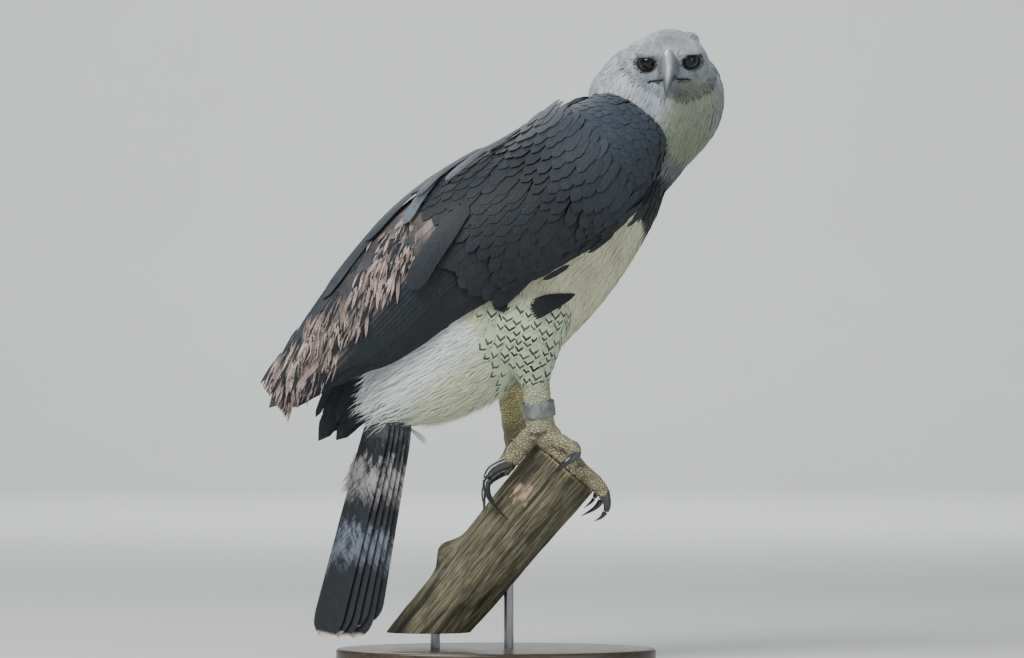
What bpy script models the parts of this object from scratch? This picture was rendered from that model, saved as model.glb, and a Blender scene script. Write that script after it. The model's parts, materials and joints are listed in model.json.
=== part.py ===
"""Harpy eagle on a cut branch, life size, as a still model on a display stand.

Metres, +Z up. Most of the bird is laid out in the bird's own frame, which faces +X with
its left side at +Y, and is then turned by BODY_YAW. The head, feet, branch and stand are
laid out in frames of their own, named below.
"""

import math

import bmesh
import bpy
from mathutils import Matrix, Vector

GAP = 0.0003  # left between pieces that touch
UP = Vector((0.0, 0.0, 1.0))

# The bird's frame: the body faces a little away from the side that is seen.
BODY_YAW = math.radians(15)
BIRD = Matrix.Rotation(BODY_YAW, 4, "Z")
SIDES = {"right": -1.0, "left": 1.0}

# Torso, from the vent to the base of the neck.
# Stations: share of the length, x, y, z, back radius, belly radius, side radius.
TORSO = (
    (0.00, -0.166, 0.0, 0.330, 0.050, 0.050, 0.048),
    (0.17, -0.110, 0.0, 0.360, 0.074, 0.076, 0.066),
    (0.38, -0.046, 0.0, 0.422, 0.098, 0.094, 0.082),
    (0.60, 0.034, 0.0, 0.518, 0.112, 0.108, 0.092),
    (0.78, 0.096, 0.0, 0.590, 0.098, 0.106, 0.088),
    (0.92, 0.140, 0.0, 0.640, 0.070, 0.102, 0.078),
    (1.00, 0.168, 0.0, 0.672, 0.056, 0.080, 0.060),
)
# Neck, from inside the chest to behind the head, with the loose feathers of the nape and throat.
NECK = (
    (0.00, 0.136, 0.000, 0.590, 0.070, 0.070, 0.066),
    (0.30, 0.164, -0.002, 0.645, 0.080, 0.068, 0.068),
    (0.60, 0.188, -0.006, 0.702, 0.092, 0.086, 0.072),
    (0.85, 0.199, -0.002, 0.750, 0.084, 0.088, 0.068),
    (1.00, 0.204, 0.000, 0.785, 0.074, 0.074, 0.060),
)

# Head frame: +X forward out of the face, +Y to the bird's left, +Z up.
HEAD_CENTRE = Vector((0.196, 0.022, 0.752))
HEAD_YAW = math.radians(-91)
HEAD_PITCH = math.radians(5)
HEAD_ROLL = math.radians(3)
HEAD = (
    Matrix.Translation(HEAD_CENTRE)
    @ Matrix.Rotation(HEAD_YAW, 4, "Z")
    @ Matrix.Rotation(HEAD_PITCH, 4, "Y")
    @ Matrix.Rotation(HEAD_ROLL, 4, "X")
)
HEAD_FRONT = 0.056
HEAD_BACK = 0.062
HEAD_HALF_WIDTH = 0.052
HEAD_CROWN = 0.044
HEAD_THROAT = 0.052
BROW_RIDGE = 0.0045
EYE_PLACE = Vector((0.0395, 0.0248, 0.0045))
EYE_RADIUS = 0.0120
LID_RADIUS = 0.0024
# Upper bill: share, x, z, half height, half width.
UPPER_BILL = (
    (0.00, 0.032, 0.003, 0.0150, 0.0112),
    (0.30, 0.055, 0.004, 0.0158, 0.0116),
    (0.52, 0.071, -0.002, 0.0130, 0.0094),
    (0.70, 0.082, -0.013, 0.0092, 0.0066),
    (0.86, 0.0865, -0.026, 0.0056, 0.0042),
    (1.00, 0.0850, -0.038, 0.0016, 0.0014),
)
LOWER_BILL = (
    (0.00, 0.030, -0.0145, 0.0070, 0.0125),
    (0.55, 0.056, -0.0160, 0.0058, 0.0092),
    (0.85, 0.067, -0.0172, 0.0040, 0.0058),
    (1.00, 0.072, -0.0185, 0.0018, 0.0026),
)
GAPE_RADII = (0.020, 0.0085, 0.0013)
NOSTRIL_RADII = (0.0017, 0.0030, 0.0040)
GAPE_CORNER = Vector((0.036, 0.024, -0.0135))
NOSTRIL = Vector((0.060, 0.0105, 0.0065))

# Crest feathers, lying back over the nape: root height share, side, length.
CREST_LENGTHS = (0.062, 0.070, 0.078, 0.084, 0.078, 0.070, 0.062)
CREST_SPREAD = 0.058
CREST_HALF_WIDTH = 0.0095

# Folded wing, drawn along a line from the shoulder to the wing tip in the bird's frame.
WING_SHOULDER = Vector((0.141, 0.0, 0.643))
WING_AXIS = Vector((-0.807, 0.0, -0.590)).normalized()
WING_RISE = Vector((-0.590, 0.0, 0.807)).normalized()
# Stations: distance along, top edge, lower edge, half width of the body with both wings.
WING = (
    (-0.068, 0.012, -0.018, 0.040),
    (-0.050, 0.042, -0.036, 0.062),
    (-0.020, 0.070, -0.052, 0.082),
    (0.020, 0.077, -0.063, 0.096),
    (0.107, 0.081, -0.068, 0.104),
    (0.177, 0.094, -0.064, 0.104),
    (0.245, 0.100, -0.050, 0.099),
    (0.314, 0.096, -0.036, 0.087),
    (0.393, 0.080, -0.031, 0.069),
    (0.454, 0.062, -0.020, 0.055),
    (0.536, 0.036, -0.011, 0.039),
    (0.590, 0.016, -0.004, 0.030),
)
WING_WIDEST = 0.42  # height of the widest level, as a share from the lower edge to the top
WING_TOP_TURN = math.radians(8)
WING_TIP_TURN = math.radians(40)  # the folded tip is flatter than the rest
WING_FLAT_FROM = 0.22
WING_FLAT_OVER = 0.30
WING_LOW_TURN = math.radians(28)
WING_MIDLINE_TURN = math.radians(3.5)
WING_DROOP = {"right": 0.0, "left": 0.15}
WING_REACH = {"right": 1.0, "left": 0.93}
# Wing core: distance along, height of its outer side over the sheet, height of its inner side.
# Its outer side is deep enough to take in the roots of every tier.
WING_CORE = (
    (-0.062, 0.004, -0.008),
    (-0.030, 0.016, -0.014),
    (0.040, 0.0255, -0.016),
    (0.075, 0.0255, -0.016),
    (0.125, 0.0205, -0.015),
    (0.175, 0.0175, -0.013),
    (0.205, 0.0145, -0.012),
    (0.240, 0.0100, -0.011),
    (0.275, 0.0030, -0.010),
    (0.330, -0.0040, -0.009),
)
WING_CORE_FALL = 0.0105  # how much lower the outer side lies at the wing's lower edge
VANE_REACH = 0.17  # a feather's largest half width, as a share of the wing's sheet
VANE_THICKNESS = 0.0006
VANE_EDGE = 0.0005
# Tiers of feathers on the folded wing, innermost first. root and tip are distances along,
# across runs from the back (0) to the lower edge (1), lift is the height over the wing's sheet.
TIERS = (
    dict(name="primaries", count=4, root=(0.240, 0.245), tip=(0.540, 0.470), across=(0.80, 0.92),
         tip_across=(0.80, 0.97), lift=(-0.0020, -0.0092), half_width=0.0165, steps=3),
    dict(name="secondaries", count=8, root=(0.195, 0.215), tip=(0.560, 0.430), across=(0.39, 0.90),
         tip_across=(0.52, 0.93), lift=(0.0102, -0.0002), half_width=0.0175, steps=3),
    dict(name="tertials", count=3, root=(0.165, 0.180), tip=(0.470, 0.545), across=(0.16, 0.31),
         tip_across=(0.26, 0.44), lift=(0.0150, 0.0119), half_width=0.0185, steps=4),
    dict(name="greater_coverts", count=7, root=(0.145, 0.160), tip=(0.350, 0.295), across=(0.22, 0.90),
         tip_across=(0.24, 0.92), lift=(0.0178, 0.0080), half_width=0.0195, steps=3),
    dict(name="median_coverts", count=6, root=(0.090, 0.105), tip=(0.250, 0.215), across=(0.18, 0.88),
         tip_across=(0.20, 0.90), lift=(0.0206, 0.0110), half_width=0.0210, steps=2),
    dict(name="scapulars", count=3, root=(0.035, 0.065), tip=(0.245, 0.300), across=(0.08, 0.26),
         tip_across=(0.08, 0.26), lift=(0.0245, 0.0222), half_width=0.0210, steps=3),
)

# Tail: twelve feathers on an arched sheet, laid out from the rump to the tail tip.
TAIL_ROOT = Vector((-0.150, 0.0, 0.396))
TAIL_TIP = Vector((-0.243, 0.0, 0.036))
TAIL_TWIST = math.radians(-33)
TAIL_PAIRS = 6
TAIL_ARCH = (0.034, 0.080)  # radius of the arch at the root and at the tip
TAIL_STEP = (0.0026, 0.0088)  # spacing of the feathers along the arch, root and tip
TAIL_HALF_WIDTH = 0.0215
TAIL_LAYER = 0.0027
TAIL_STEPS = 5
UNDERTAIL = 5
UNDERTAIL_LENGTH = 0.150

# Legs. Knee, shin top, ankle and foot are in the bird's frame.
LEGS = {
    "right": dict(
        thigh=(
            (0.00, 0.008, -0.046, 0.500, 0.046, 0.046, 0.030),
            (0.34, 0.000, -0.052, 0.455, 0.062, 0.062, 0.040),
            (0.64, 0.006, -0.052, 0.408, 0.052, 0.054, 0.037),
            (0.86, 0.014, -0.048, 0.370, 0.034, 0.036, 0.028),
            (1.00, 0.020, -0.045, 0.338, 0.022, 0.023, 0.021),
        ),
        shin_top=Vector((0.014, -0.047, 0.384)),
        ankle=Vector((0.027, -0.040, 0.292)),
    ),
    "left": dict(
        thigh=(
            (0.00, 0.000, 0.046, 0.490, 0.046, 0.046, 0.030),
            (0.34, -0.010, 0.052, 0.445, 0.062, 0.062, 0.040),
            (0.64, -0.008, 0.050, 0.398, 0.052, 0.054, 0.037),
            (0.86, 0.002, 0.045, 0.360, 0.034, 0.036, 0.028),
            (1.00, 0.009, 0.041, 0.328, 0.022, 0.023, 0.021),
        ),
        shin_top=Vector((0.003, 0.043, 0.374)),
        ankle=Vector((0.018, 0.026, 0.270)),
    ),
}
SHIN_RADIUS = 0.0165
ANKLE_RADIUS = 0.0185
BAND_WIDTH = 0.019
BAND_WALL = 0.0012
BAND_SHARE = 0.70  # where the band sits, from the shin top to the ankle

# Branch frame: u up along the branch out of the sawn face, v up and back, w into the scene.
FACE_CENTRE = Vector((0.066, 0.0, 0.246))
BRANCH_TILT = math.radians(50.2)
U = Vector((math.cos(BRANCH_TILT), 0.0, math.sin(BRANCH_TILT)))
V = Vector((-math.sin(BRANCH_TILT), 0.0, math.cos(BRANCH_TILT)))
W = Vector((0.0, 1.0, 0.0))
BRANCH_TOP_RADIUS = 0.0465
BRANCH_LOW_RADIUS = 0.0385
BRANCH_FOOT = 0.040  # height of the level cut at its lower end
KNOT_PLACE = (-0.176, 0.036, 0.002)
KNOT_RADII = (0.024, 0.016, 0.018)
BRANCH_SIDES = 20
BRANCH_RINGS = 9

# Toes: points in the branch's frame (u, v, w), radius at the root and at the claw.
TOES = {
    "right": {
        "hallux": dict(path=((0.012, 0.036, -0.028), (0.004, 0.058, -0.030), (-0.018, 0.062, -0.031),
                             (-0.040, 0.0585, -0.031)), radius=(0.0115, 0.0090),
                       claw=((-0.040, 0.0585, -0.031), (-0.062, 0.0680, -0.036), (-0.081, 0.0600, -0.044),
                             (-0.092, 0.0380, -0.052), (-0.0940, 0.0130, -0.056)), claw_radius=0.0078),
        "inner": dict(path=((0.012, 0.036, -0.024), (0.014, 0.014, -0.015), (0.0115, -0.012, -0.010),
                            (0.0100, -0.036, -0.008)), radius=(0.0110, 0.0085),
                      claw=((0.0100, -0.036, -0.008), (0.0070, -0.056, -0.008), (-0.010, -0.062, -0.007),
                            (-0.034, -0.0545, -0.006)), claw_radius=0.0070),
        "middle": dict(path=((0.012, 0.036, -0.030), (0.0155, 0.014, -0.038), (0.0115, -0.014, -0.041),
                             (0.0105, -0.038, -0.039), (0.006, -0.059, -0.036)), radius=(0.0112, 0.0085),
                       claw=((0.006, -0.059, -0.036), (-0.003, -0.0705, -0.036), (-0.016, -0.0740, -0.036),
                             (-0.028, -0.0700, -0.036)), claw_radius=0.0066),
        "outer": dict(path=((0.012, 0.036, -0.032), (0.022, 0.024, -0.046), (0.025, 0.008, -0.056),
                            (0.020, 0.001, -0.0620)), radius=(0.0105, 0.0085),
                      claw=((0.020, 0.001, -0.0620), (0.010, 0.003, -0.0680), (-0.004, 0.006, -0.0670),
                            (-0.016, 0.008, -0.0620)), claw_radius=0.0062),
    },
    "left": {
        "hallux": dict(path=((-0.008, 0.052, 0.022), (-0.022, 0.062, 0.018), (-0.040, 0.0605, 0.012),
                             (-0.056, 0.0580, 0.008)), radius=(0.0115, 0.0090),
                       claw=((-0.056, 0.0580, 0.008), (-0.072, 0.0620, 0.000), (-0.088, 0.0580, -0.010),
                             (-0.100, 0.0480, -0.018), (-0.108, 0.0420, -0.020)), claw_radius=0.0076),
        "inner": dict(path=((-0.008, 0.052, 0.020), (0.010, 0.046, 0.012), (0.0185, 0.028, 0.008),
                            (0.0130, 0.006, 0.009)), radius=(0.0110, 0.0085),
                      claw=((0.0130, 0.006, 0.009), (0.0105, -0.008, 0.010), (0.0075, -0.020, 0.010),
                            (0.0045, -0.032, 0.010)), claw_radius=0.0064),
        "middle": dict(path=((-0.008, 0.052, 0.024), (0.012, 0.045, 0.030), (0.0150, 0.022, 0.033),
                             (0.0115, -0.006, 0.034), (0.0100, -0.026, 0.034)), radius=(0.0112, 0.0085),
                       claw=((0.0100, -0.026, 0.034), (0.0070, -0.046, 0.034), (-0.008, -0.0540, 0.033),
                             (-0.024, -0.0520, 0.031)), claw_radius=0.0066),
        "outer": dict(path=((-0.008, 0.050, 0.026), (-0.006, 0.046, 0.044), (-0.008, 0.026, 0.058),
                            (-0.012, 0.006, 0.0600)), radius=(0.0105, 0.0085),
                      claw=((-0.012, 0.006, 0.0600), (-0.018, -0.010, 0.0600), (-0.028, -0.024, 0.0545),
                            (-0.036, -0.034, 0.0470)), claw_radius=0.0062),
    },
}
CLAW_SINK = 0.0015
PALM_RADII = (0.017, 0.019, 0.017)
PALMS = {"right": (0.0160, 0.0400, -0.0290), "left": (-0.0020, 0.0580, 0.0240)}

# Stand: a flat board and two short rods up to the branch.
BASE_CENTRE = Vector((-0.020, 0.0, 0.0))
BASE_HALF_LENGTH = 0.200
BASE_HALF_WIDTH = 0.135
BASE_HEIGHT = 0.020
BASE_BEVEL = 0.004
ROD_RADIUS = 0.006
ROD_PLACES = ((-0.096, 0.0), (-0.004, 0.0))
ROD_REACHES = (0.060, 0.120)

COLOURS = {
    "slate_feather": ((0.035, 0.042, 0.055), 0.62, 0.0),
    "white_feather": ((0.72, 0.72, 0.60), 0.85, 0.0),
    "grey_feather": ((0.46, 0.49, 0.52), 0.85, 0.0),
    "barred_feather": ((0.62, 0.66, 0.52), 0.85, 0.0),
    "tail_feather": ((0.060, 0.066, 0.080), 0.6, 0.0),
    "bill_horn": ((0.16, 0.18, 0.20), 0.35, 0.0),
    "claw_horn": ((0.020, 0.022, 0.026), 0.28, 0.0),
    "eye": ((0.012, 0.010, 0.009), 0.05, 0.0),
    "leg_scale": ((0.50, 0.44, 0.20), 0.6, 0.0),
    "band_metal": ((0.42, 0.45, 0.44), 0.4, 0.9),
    "branch_wood": ((0.16, 0.13, 0.08), 0.9, 0.0),
    "stand_board": ((0.055, 0.040, 0.030), 0.35, 0.0),
    "stand_steel": ((0.35, 0.35, 0.36), 0.3, 1.0),
}


def material(slot):
    colour, roughness, metallic = COLOURS[slot]
    made = bpy.data.materials.get(slot)
    if made is None:
        made = bpy.data.materials.new(slot)
        made.use_nodes = True
        shader = made.node_tree.nodes["Principled BSDF"]
        shader.inputs["Base Color"].default_value = (*colour, 1.0)
        shader.inputs["Roughness"].default_value = roughness
        shader.inputs["Metallic"].default_value = metallic
    return made


def smooth(stations, share):
    """The values at share of a smooth curve through the stations (share, value, value, ...)."""
    places = [s[0] for s in stations]
    last = len(places) - 1
    share = min(max(share, places[0]), places[last])
    i = 0
    while i < last - 1 and share > places[i + 1]:
        i += 1
    before, here, after, beyond = (stations[min(max(i + k, 0), last)] for k in (-1, 0, 1, 2))
    width = after[0] - here[0]
    t = (share - here[0]) / width
    values = []
    for k in range(1, len(here)):
        leave = (after[k] - before[k]) / max(after[0] - before[0], 1e-9) * width
        arrive = (beyond[k] - here[k]) / max(beyond[0] - here[0], 1e-9) * width
        values.append(
            (2 * t**3 - 3 * t**2 + 1) * here[k] + (t**3 - 2 * t**2 + t) * leave
            + (3 * t**2 - 2 * t**3) * after[k] + (t**3 - t**2) * arrive
        )
    return values


def even_stations(points):
    """Points as stations, each at its share of the path's length."""
    lengths = [0.0]
    for a, b in zip(points, points[1:]):
        lengths.append(lengths[-1] + (Vector(b) - Vector(a)).length)
    return tuple((d / lengths[-1], *p) for d, p in zip(lengths, points))


def outward(bm):
    """The form with all its faces turned outwards."""
    bmesh.ops.recalc_face_normals(bm, faces=bm.faces[:])
    if bm.calc_volume(signed=True) < 0:
        bmesh.ops.reverse_faces(bm, faces=bm.faces[:])
    return bm


def drawn_form(sides, rings, place):
    """A UV sphere whose rows of points are put where place(row, turn) says."""
    bm = bmesh.new()
    bmesh.ops.create_uvsphere(bm, u_segments=sides, v_segments=rings, radius=1.0)
    for vert in bm.verts:
        height = min(max(vert.co.z, -1.0), 1.0)
        row = round((0.5 - math.asin(height) / math.pi) * rings)
        vert.co = place(row, math.atan2(vert.co.y, vert.co.x))
    return outward(bm)


def rounded_form(stations, sides, rings, blunt=0.55, grow=0.0):
    """A closed form with round ends along a spine.
    Stations: share, x, y, z, back radius, front radius, side radius. blunt is how square its ends are."""
    def place(row, turn):
        latitude = math.pi * (0.5 - row / rings)
        share = 0.5 - 0.5 * math.sin(latitude)
        belt = max(math.cos(latitude), 0.0) ** blunt
        x, y, z, back, front, side = smooth(stations, share)
        ahead = Vector(smooth(stations, min(share + 0.02, 1.0))[:3])
        behind = Vector(smooth(stations, max(share - 0.02, 0.0))[:3])
        along = (ahead - behind).normalized()
        across = Vector((0.0, 1.0, 0.0))
        rise = across.cross(along).normalized()
        depth = front if math.cos(turn) < 0 else back
        if stations is not TORSO and stations is not NECK:
            rise = -rise
        return (
            Vector((x, y, z))
            - rise * depth * belt * math.cos(turn)
            + across * side * belt * math.sin(turn)
        )

    return swollen(drawn_form(sides, rings, place), grow)


def tube_form(points, radii, sides, rings, frame=Vector, grow=0.0):
    """A tube with flat ends through points. radii gives the radius at a share of the length."""
    stations = even_stations(points)

    def place(row, turn):
        share = min(max((row - 1) / (rings - 2), 0.0), 1.0)
        centre = frame(smooth(stations, share))
        ahead = frame(smooth(stations, min(share + 0.03, 1.0)))
        behind = frame(smooth(stations, max(share - 0.03, 0.0)))
        along = (ahead - behind).normalized()
        side = along.cross(UP if abs(along.z) < 0.9 else Vector((1.0, 0.0, 0.0))).normalized()
        rise = side.cross(along)
        if row in (0, rings):
            return centre
        radius = radii(share)
        return centre + radius * (math.cos(turn) * side + math.sin(turn) * rise)

    return swollen(drawn_form(sides, rings, place), grow)


def swollen(bm, grow):
    """The form moved outwards by grow along its own normals."""
    if grow:
        bm.normal_update()
        moves = [(vert, vert.normal.copy()) for vert in bm.verts]
        for vert, normal in moves:
            vert.co += normal * grow
    return bm


def ellipsoid(centre, radii, sides=10, rings=8):
    bm = bmesh.new()
    bmesh.ops.create_uvsphere(bm, u_segments=sides, v_segments=rings, radius=1.0)
    bmesh.ops.scale(bm, vec=radii, verts=bm.verts[:])
    bmesh.ops.translate(bm, vec=centre, verts=bm.verts[:])
    return bm


def vane_form(steps, point):
    """A thin closed blade. point(share, side, face) places its points: side is -1, 0 or 1 across,
    face is 1 on top and -1 below. Both faces are split into the same triangles."""
    bm = bmesh.new()
    bmesh.ops.create_grid(bm, x_segments=steps, y_segments=2, size=1.0)
    bmesh.ops.triangulate(bm, faces=bm.faces[:], quad_method="FIXED")
    bmesh.ops.solidify(bm, geom=bm.faces[:], thickness=1.0)
    lows = [vert.co.z for vert in bm.verts]
    middle = (min(lows) + max(lows)) / 2
    for vert in bm.verts:
        face = 1.0 if vert.co.z > middle else -1.0
        vert.co = point((vert.co.x + 1.0) / 2.0, round(vert.co.y), face)
    return outward(bm)


def blade(share, narrow=0.6):
    """Half width of a feather at share of its length, of 1 at its widest."""
    base = min(1.0, narrow + 1.4 * share * (1.0 - narrow) / 0.45)
    tip = max((share - 0.80) / 0.20, 0.0)
    return base * math.sqrt(max(1.0 - 0.93 * tip * tip, 0.05))


def obj_from(bm, name, slot, matrix=None):
    if matrix is not None:
        bmesh.ops.transform(bm, matrix=matrix, verts=bm.verts[:])
    bmesh.ops.triangulate(bm, faces=bm.faces[:])
    mesh = bpy.data.meshes.new(name)
    bm.to_mesh(mesh)
    bm.free()
    mesh.materials.append(material(slot))
    made = bpy.data.objects.new(name, mesh)
    bpy.context.scene.collection.objects.link(made)
    return made


def apply_boolean(obj, operation, others):
    """obj joined with, or cut by, the other objects, which are then removed."""
    group = bpy.data.collections.new("boolean pieces")
    bpy.context.scene.collection.children.link(group)
    for other in others:
        group.objects.link(other)
        bpy.context.scene.collection.objects.unlink(other)
    modifier = obj.modifiers.new("boolean", "BOOLEAN")
    modifier.operation = operation
    modifier.solver = "MANIFOLD"
    modifier.operand_type = "COLLECTION"
    modifier.collection = group
    graph = bpy.context.evaluated_depsgraph_get()
    result = bpy.data.meshes.new_from_object(obj.evaluated_get(graph))
    obj.modifiers.clear()
    obj.data = result
    for other in others:
        bpy.data.objects.remove(other, do_unlink=True)
    bpy.data.collections.remove(group)
    keep_largest(obj)


def keep_largest(obj):
    """Only the largest closed surface of the object stays."""
    bm = bmesh.new()
    bm.from_mesh(obj.data)
    bm.normal_update()
    left = set(bm.faces)
    shells = []
    while left:
        shell = {left.pop()}
        edge = list(shell)
        while edge:
            face = edge.pop()
            for loop in face.edges:
                for other in loop.link_faces:
                    if other in left:
                        left.discard(other)
                        shell.add(other)
                        edge.append(other)
        volume = sum(f.calc_area() * f.normal.dot(f.verts[0].co) / 3.0 for f in shell)
        shells.append((abs(volume), shell))
    best = max(shells, key=lambda s: s[0])[1]
    spare = [f for f in bm.faces if f not in best]
    bmesh.ops.delete(bm, geom=spare, context="FACES")
    bm.to_mesh(obj.data)
    bm.free()


def join(obj, pieces):
    if pieces:
        apply_boolean(obj, "UNION", pieces)


def cut(obj, cutters):
    if cutters:
        apply_boolean(obj, "DIFFERENCE", cutters)


def shade(obj, angle=40):
    obj.data.shade_smooth()
    obj.data.set_sharp_from_angle(angle=math.radians(angle))


def cutter(bm, matrix=None):
    return obj_from(bm, "cutter", "stand_steel", matrix)


def torso_form(grow=0.0):
    return rounded_form(TORSO, 24, 16, blunt=0.45, grow=grow)


def neck_form(grow=0.0):
    return rounded_form(NECK, 20, 10, blunt=0.5, grow=grow)


def head_surface(turn, latitude):
    """A point of the head in its own frame."""
    x = math.cos(latitude) * math.cos(turn)
    y = math.cos(latitude) * math.sin(turn)
    z = math.sin(latitude)
    front = HEAD_FRONT if x > 0 else HEAD_BACK
    rise = HEAD_CROWN if z > 0 else HEAD_THROAT
    point = Vector((x * front, y * HEAD_HALF_WIDTH * (1.0 - 0.10 * z), z * rise))
    # The brow stands out over each eye, and the face is a little hollow below it.
    for side in (-1.0, 1.0):
        brow = Vector((0.034, side * 0.031, 0.020))
        away = (point - brow).length
        point += Vector((0.8, side * 0.5, 0.1)) * BROW_RIDGE * math.exp(-((away / 0.013) ** 2))
    return point


def head_form(grow=0.0):
    rings = 14

    def place(row, turn):
        return head_surface(turn, math.pi * (0.5 - row / rings))

    return swollen(drawn_form(22, rings, place), grow)


def bill_form(stations, sides, rings, grow=0.0):
    def place(row, turn):
        share = min(max((row - 1) / (rings - 2), 0.0), 1.0)
        x, z, half_height, half_width = smooth(stations, share)
        ahead = Vector(smooth(stations, min(share + 0.03, 1.0))[:2])
        behind = Vector(smooth(stations, max(share - 0.03, 0.0))[:2])
        along = (ahead - behind).normalized()
        centre = Vector((x, 0.0, z))
        if row in (0, rings):
            return centre
        rise = Vector((-along.y, 0.0, along.x))
        # The top of the bill is a narrow ridge and its lower edge is wider.
        ridge = 1.0 - 0.30 * max(math.sin(turn), 0.0)
        return (
            centre
            + rise * half_height * math.sin(turn)
            + Vector((0.0, 1.0, 0.0)) * half_width * math.cos(turn) * ridge
        )

    return swollen(drawn_form(sides, rings, place), grow)


def eye_ball(side, grow=0.0):
    place = Vector((EYE_PLACE.x, side * EYE_PLACE.y, EYE_PLACE.z))
    radius = EYE_RADIUS + grow
    return ellipsoid(place, (radius, radius, radius), 12, 8)


def lid_form(side):
    """The ring of bare lid round an eye, facing out of the head."""
    place = Vector((EYE_PLACE.x, side * EYE_PLACE.y, EYE_PLACE.z))
    out = Vector((0.80, side * 0.60, 0.0)).normalized()
    across = out.cross(UP).normalized()
    rise = across.cross(out)
    ring_radius = EYE_RADIUS * 0.90
    centre = place + out * EYE_RADIUS * 0.36
    bm = bmesh.new()
    bmesh.ops.create_circle(bm, segments=4, radius=LID_RADIUS)
    bmesh.ops.rotate(bm, verts=bm.verts[:], matrix=Matrix.Rotation(math.pi / 2, 3, "X"))
    bmesh.ops.translate(bm, verts=bm.verts[:], vec=(ring_radius, 0.0, 0.0))
    bmesh.ops.spin(
        bm, geom=bm.verts[:] + bm.edges[:], cent=(0, 0, 0), axis=(0, 0, 1),
        angle=2 * math.pi, steps=10, use_merge=True,
    )
    bmesh.ops.remove_doubles(bm, verts=bm.verts[:], dist=1e-6)
    basis = Matrix((across, rise, out)).transposed().to_4x4()
    bmesh.ops.transform(bm, matrix=Matrix.Translation(centre) @ basis, verts=bm.verts[:])
    return outward(bm)


def crest_vane(index):
    """One feather of the lowered crest, from the crown back over the nape."""
    count = len(CREST_LENGTHS)
    spread = (index / (count - 1) - 0.5) * 2.0
    length = CREST_LENGTHS[index]
    lift = 0.0012 * (count - abs(2 * index - count + 1))
    root = Vector((-0.020, spread * CREST_SPREAD * 0.36, 0.036 + lift - 0.006 * abs(spread)))
    path = even_stations((
        root,
        root + Vector((-0.36 * length, spread * 0.004, 0.04 * length)),
        root + Vector((-0.70 * length, spread * 0.008, -0.10 * length)),
        root + Vector((-0.98 * length, spread * 0.011, -0.34 * length)),
    ))

    def point(share, side, face):
        centre = Vector(smooth(path, share))
        ahead = Vector(smooth(path, min(share + 0.05, 1.0)))
        behind = Vector(smooth(path, max(share - 0.05, 0.0)))
        along = (ahead - behind).normalized()
        across = Vector((0.0, 1.0, -0.30 * spread)).normalized()
        normal = along.cross(across).normalized()
        thick = VANE_THICKNESS if side == 0 else VANE_EDGE
        return centre + across * side * CREST_HALF_WIDTH * blade(share) - normal * face * thick / 2

    return vane_form(3, point)


def make_head():
    head = obj_from(head_form(), "head", "grey_feather", HEAD)
    lids = [cutter(lid_form(side), HEAD) for side in SIDES.values()]
    crest = [cutter(crest_vane(i), HEAD) for i in range(len(CREST_LENGTHS))]
    join(head, lids + crest)
    cutters = [cutter(eye_ball(side, GAP), HEAD) for side in SIDES.values()]
    cutters.append(cutter(bill_form(UPPER_BILL, 12, 11, GAP), HEAD))
    cutters.append(cutter(bill_form(LOWER_BILL, 10, 7, GAP), HEAD))
    for side in SIDES.values():
        place = Vector((GAPE_CORNER.x, side * GAPE_CORNER.y * 0.8, GAPE_CORNER.z))
        cutters.append(cutter(ellipsoid(place, GAPE_RADII, 6, 4), HEAD))
    for piece in cutters:
        cut(head, [piece])
    return head


def make_bill():
    upper = obj_from(bill_form(UPPER_BILL, 12, 11), "bill_upper", "bill_horn", HEAD)
    for side in SIDES.values():
        place = Vector((NOSTRIL.x, side * NOSTRIL.y, NOSTRIL.z))
        cut(upper, [cutter(ellipsoid(place, NOSTRIL_RADII, 8, 6), HEAD)])
    lower = obj_from(bill_form(LOWER_BILL, 10, 7), "bill_lower", "bill_horn", HEAD)
    cut(lower, [cutter(bill_form(UPPER_BILL, 12, 11, GAP), HEAD)])
    return upper, lower


def make_eyes():
    return [
        obj_from(eye_ball(side), f"eye_{name}", "eye", HEAD) for name, side in SIDES.items()
    ]


def wing_point(along, across, lift, name):
    """A point of the folded wing's sheet, raised by lift, in the bird's frame."""
    top, bottom, width = smooth(WING, along)
    widest = bottom + WING_WIDEST * (top - bottom)
    flat = min(max((along - WING_FLAT_FROM) / WING_FLAT_OVER, 0.0), 1.0)
    start = WING_TOP_TURN + (WING_TIP_TURN - WING_TOP_TURN) * flat
    turn = start + across * (math.pi / 2 + WING_LOW_TURN - start)
    turn = max(turn, WING_MIDLINE_TURN)
    if turn <= math.pi / 2:
        rise = widest + (top - widest) * math.cos(turn) / math.cos(start)
        out = width * math.sin(turn) ** 0.85
    else:
        rise = widest - (widest - bottom) * math.sin(turn - math.pi / 2) / math.sin(WING_LOW_TURN)
        out = width * math.cos(turn - math.pi / 2)
    rise += lift * math.cos(turn) - WING_DROOP[name] * max(along, 0.0)
    out += lift * math.sin(turn)
    return (
        WING_SHOULDER + WING_AXIS * along * WING_REACH[name] + WING_RISE * rise
        + Vector((0.0, SIDES[name] * out, 0.0))
    )


def wing_scale(along, across, name):
    """Metres of the sheet for one unit of across."""
    step = 0.02
    a = wing_point(along, across - step, 0.0, name)
    b = wing_point(along, across + step, 0.0, name)
    return max((b - a).length / (2 * step), 0.03)


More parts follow.
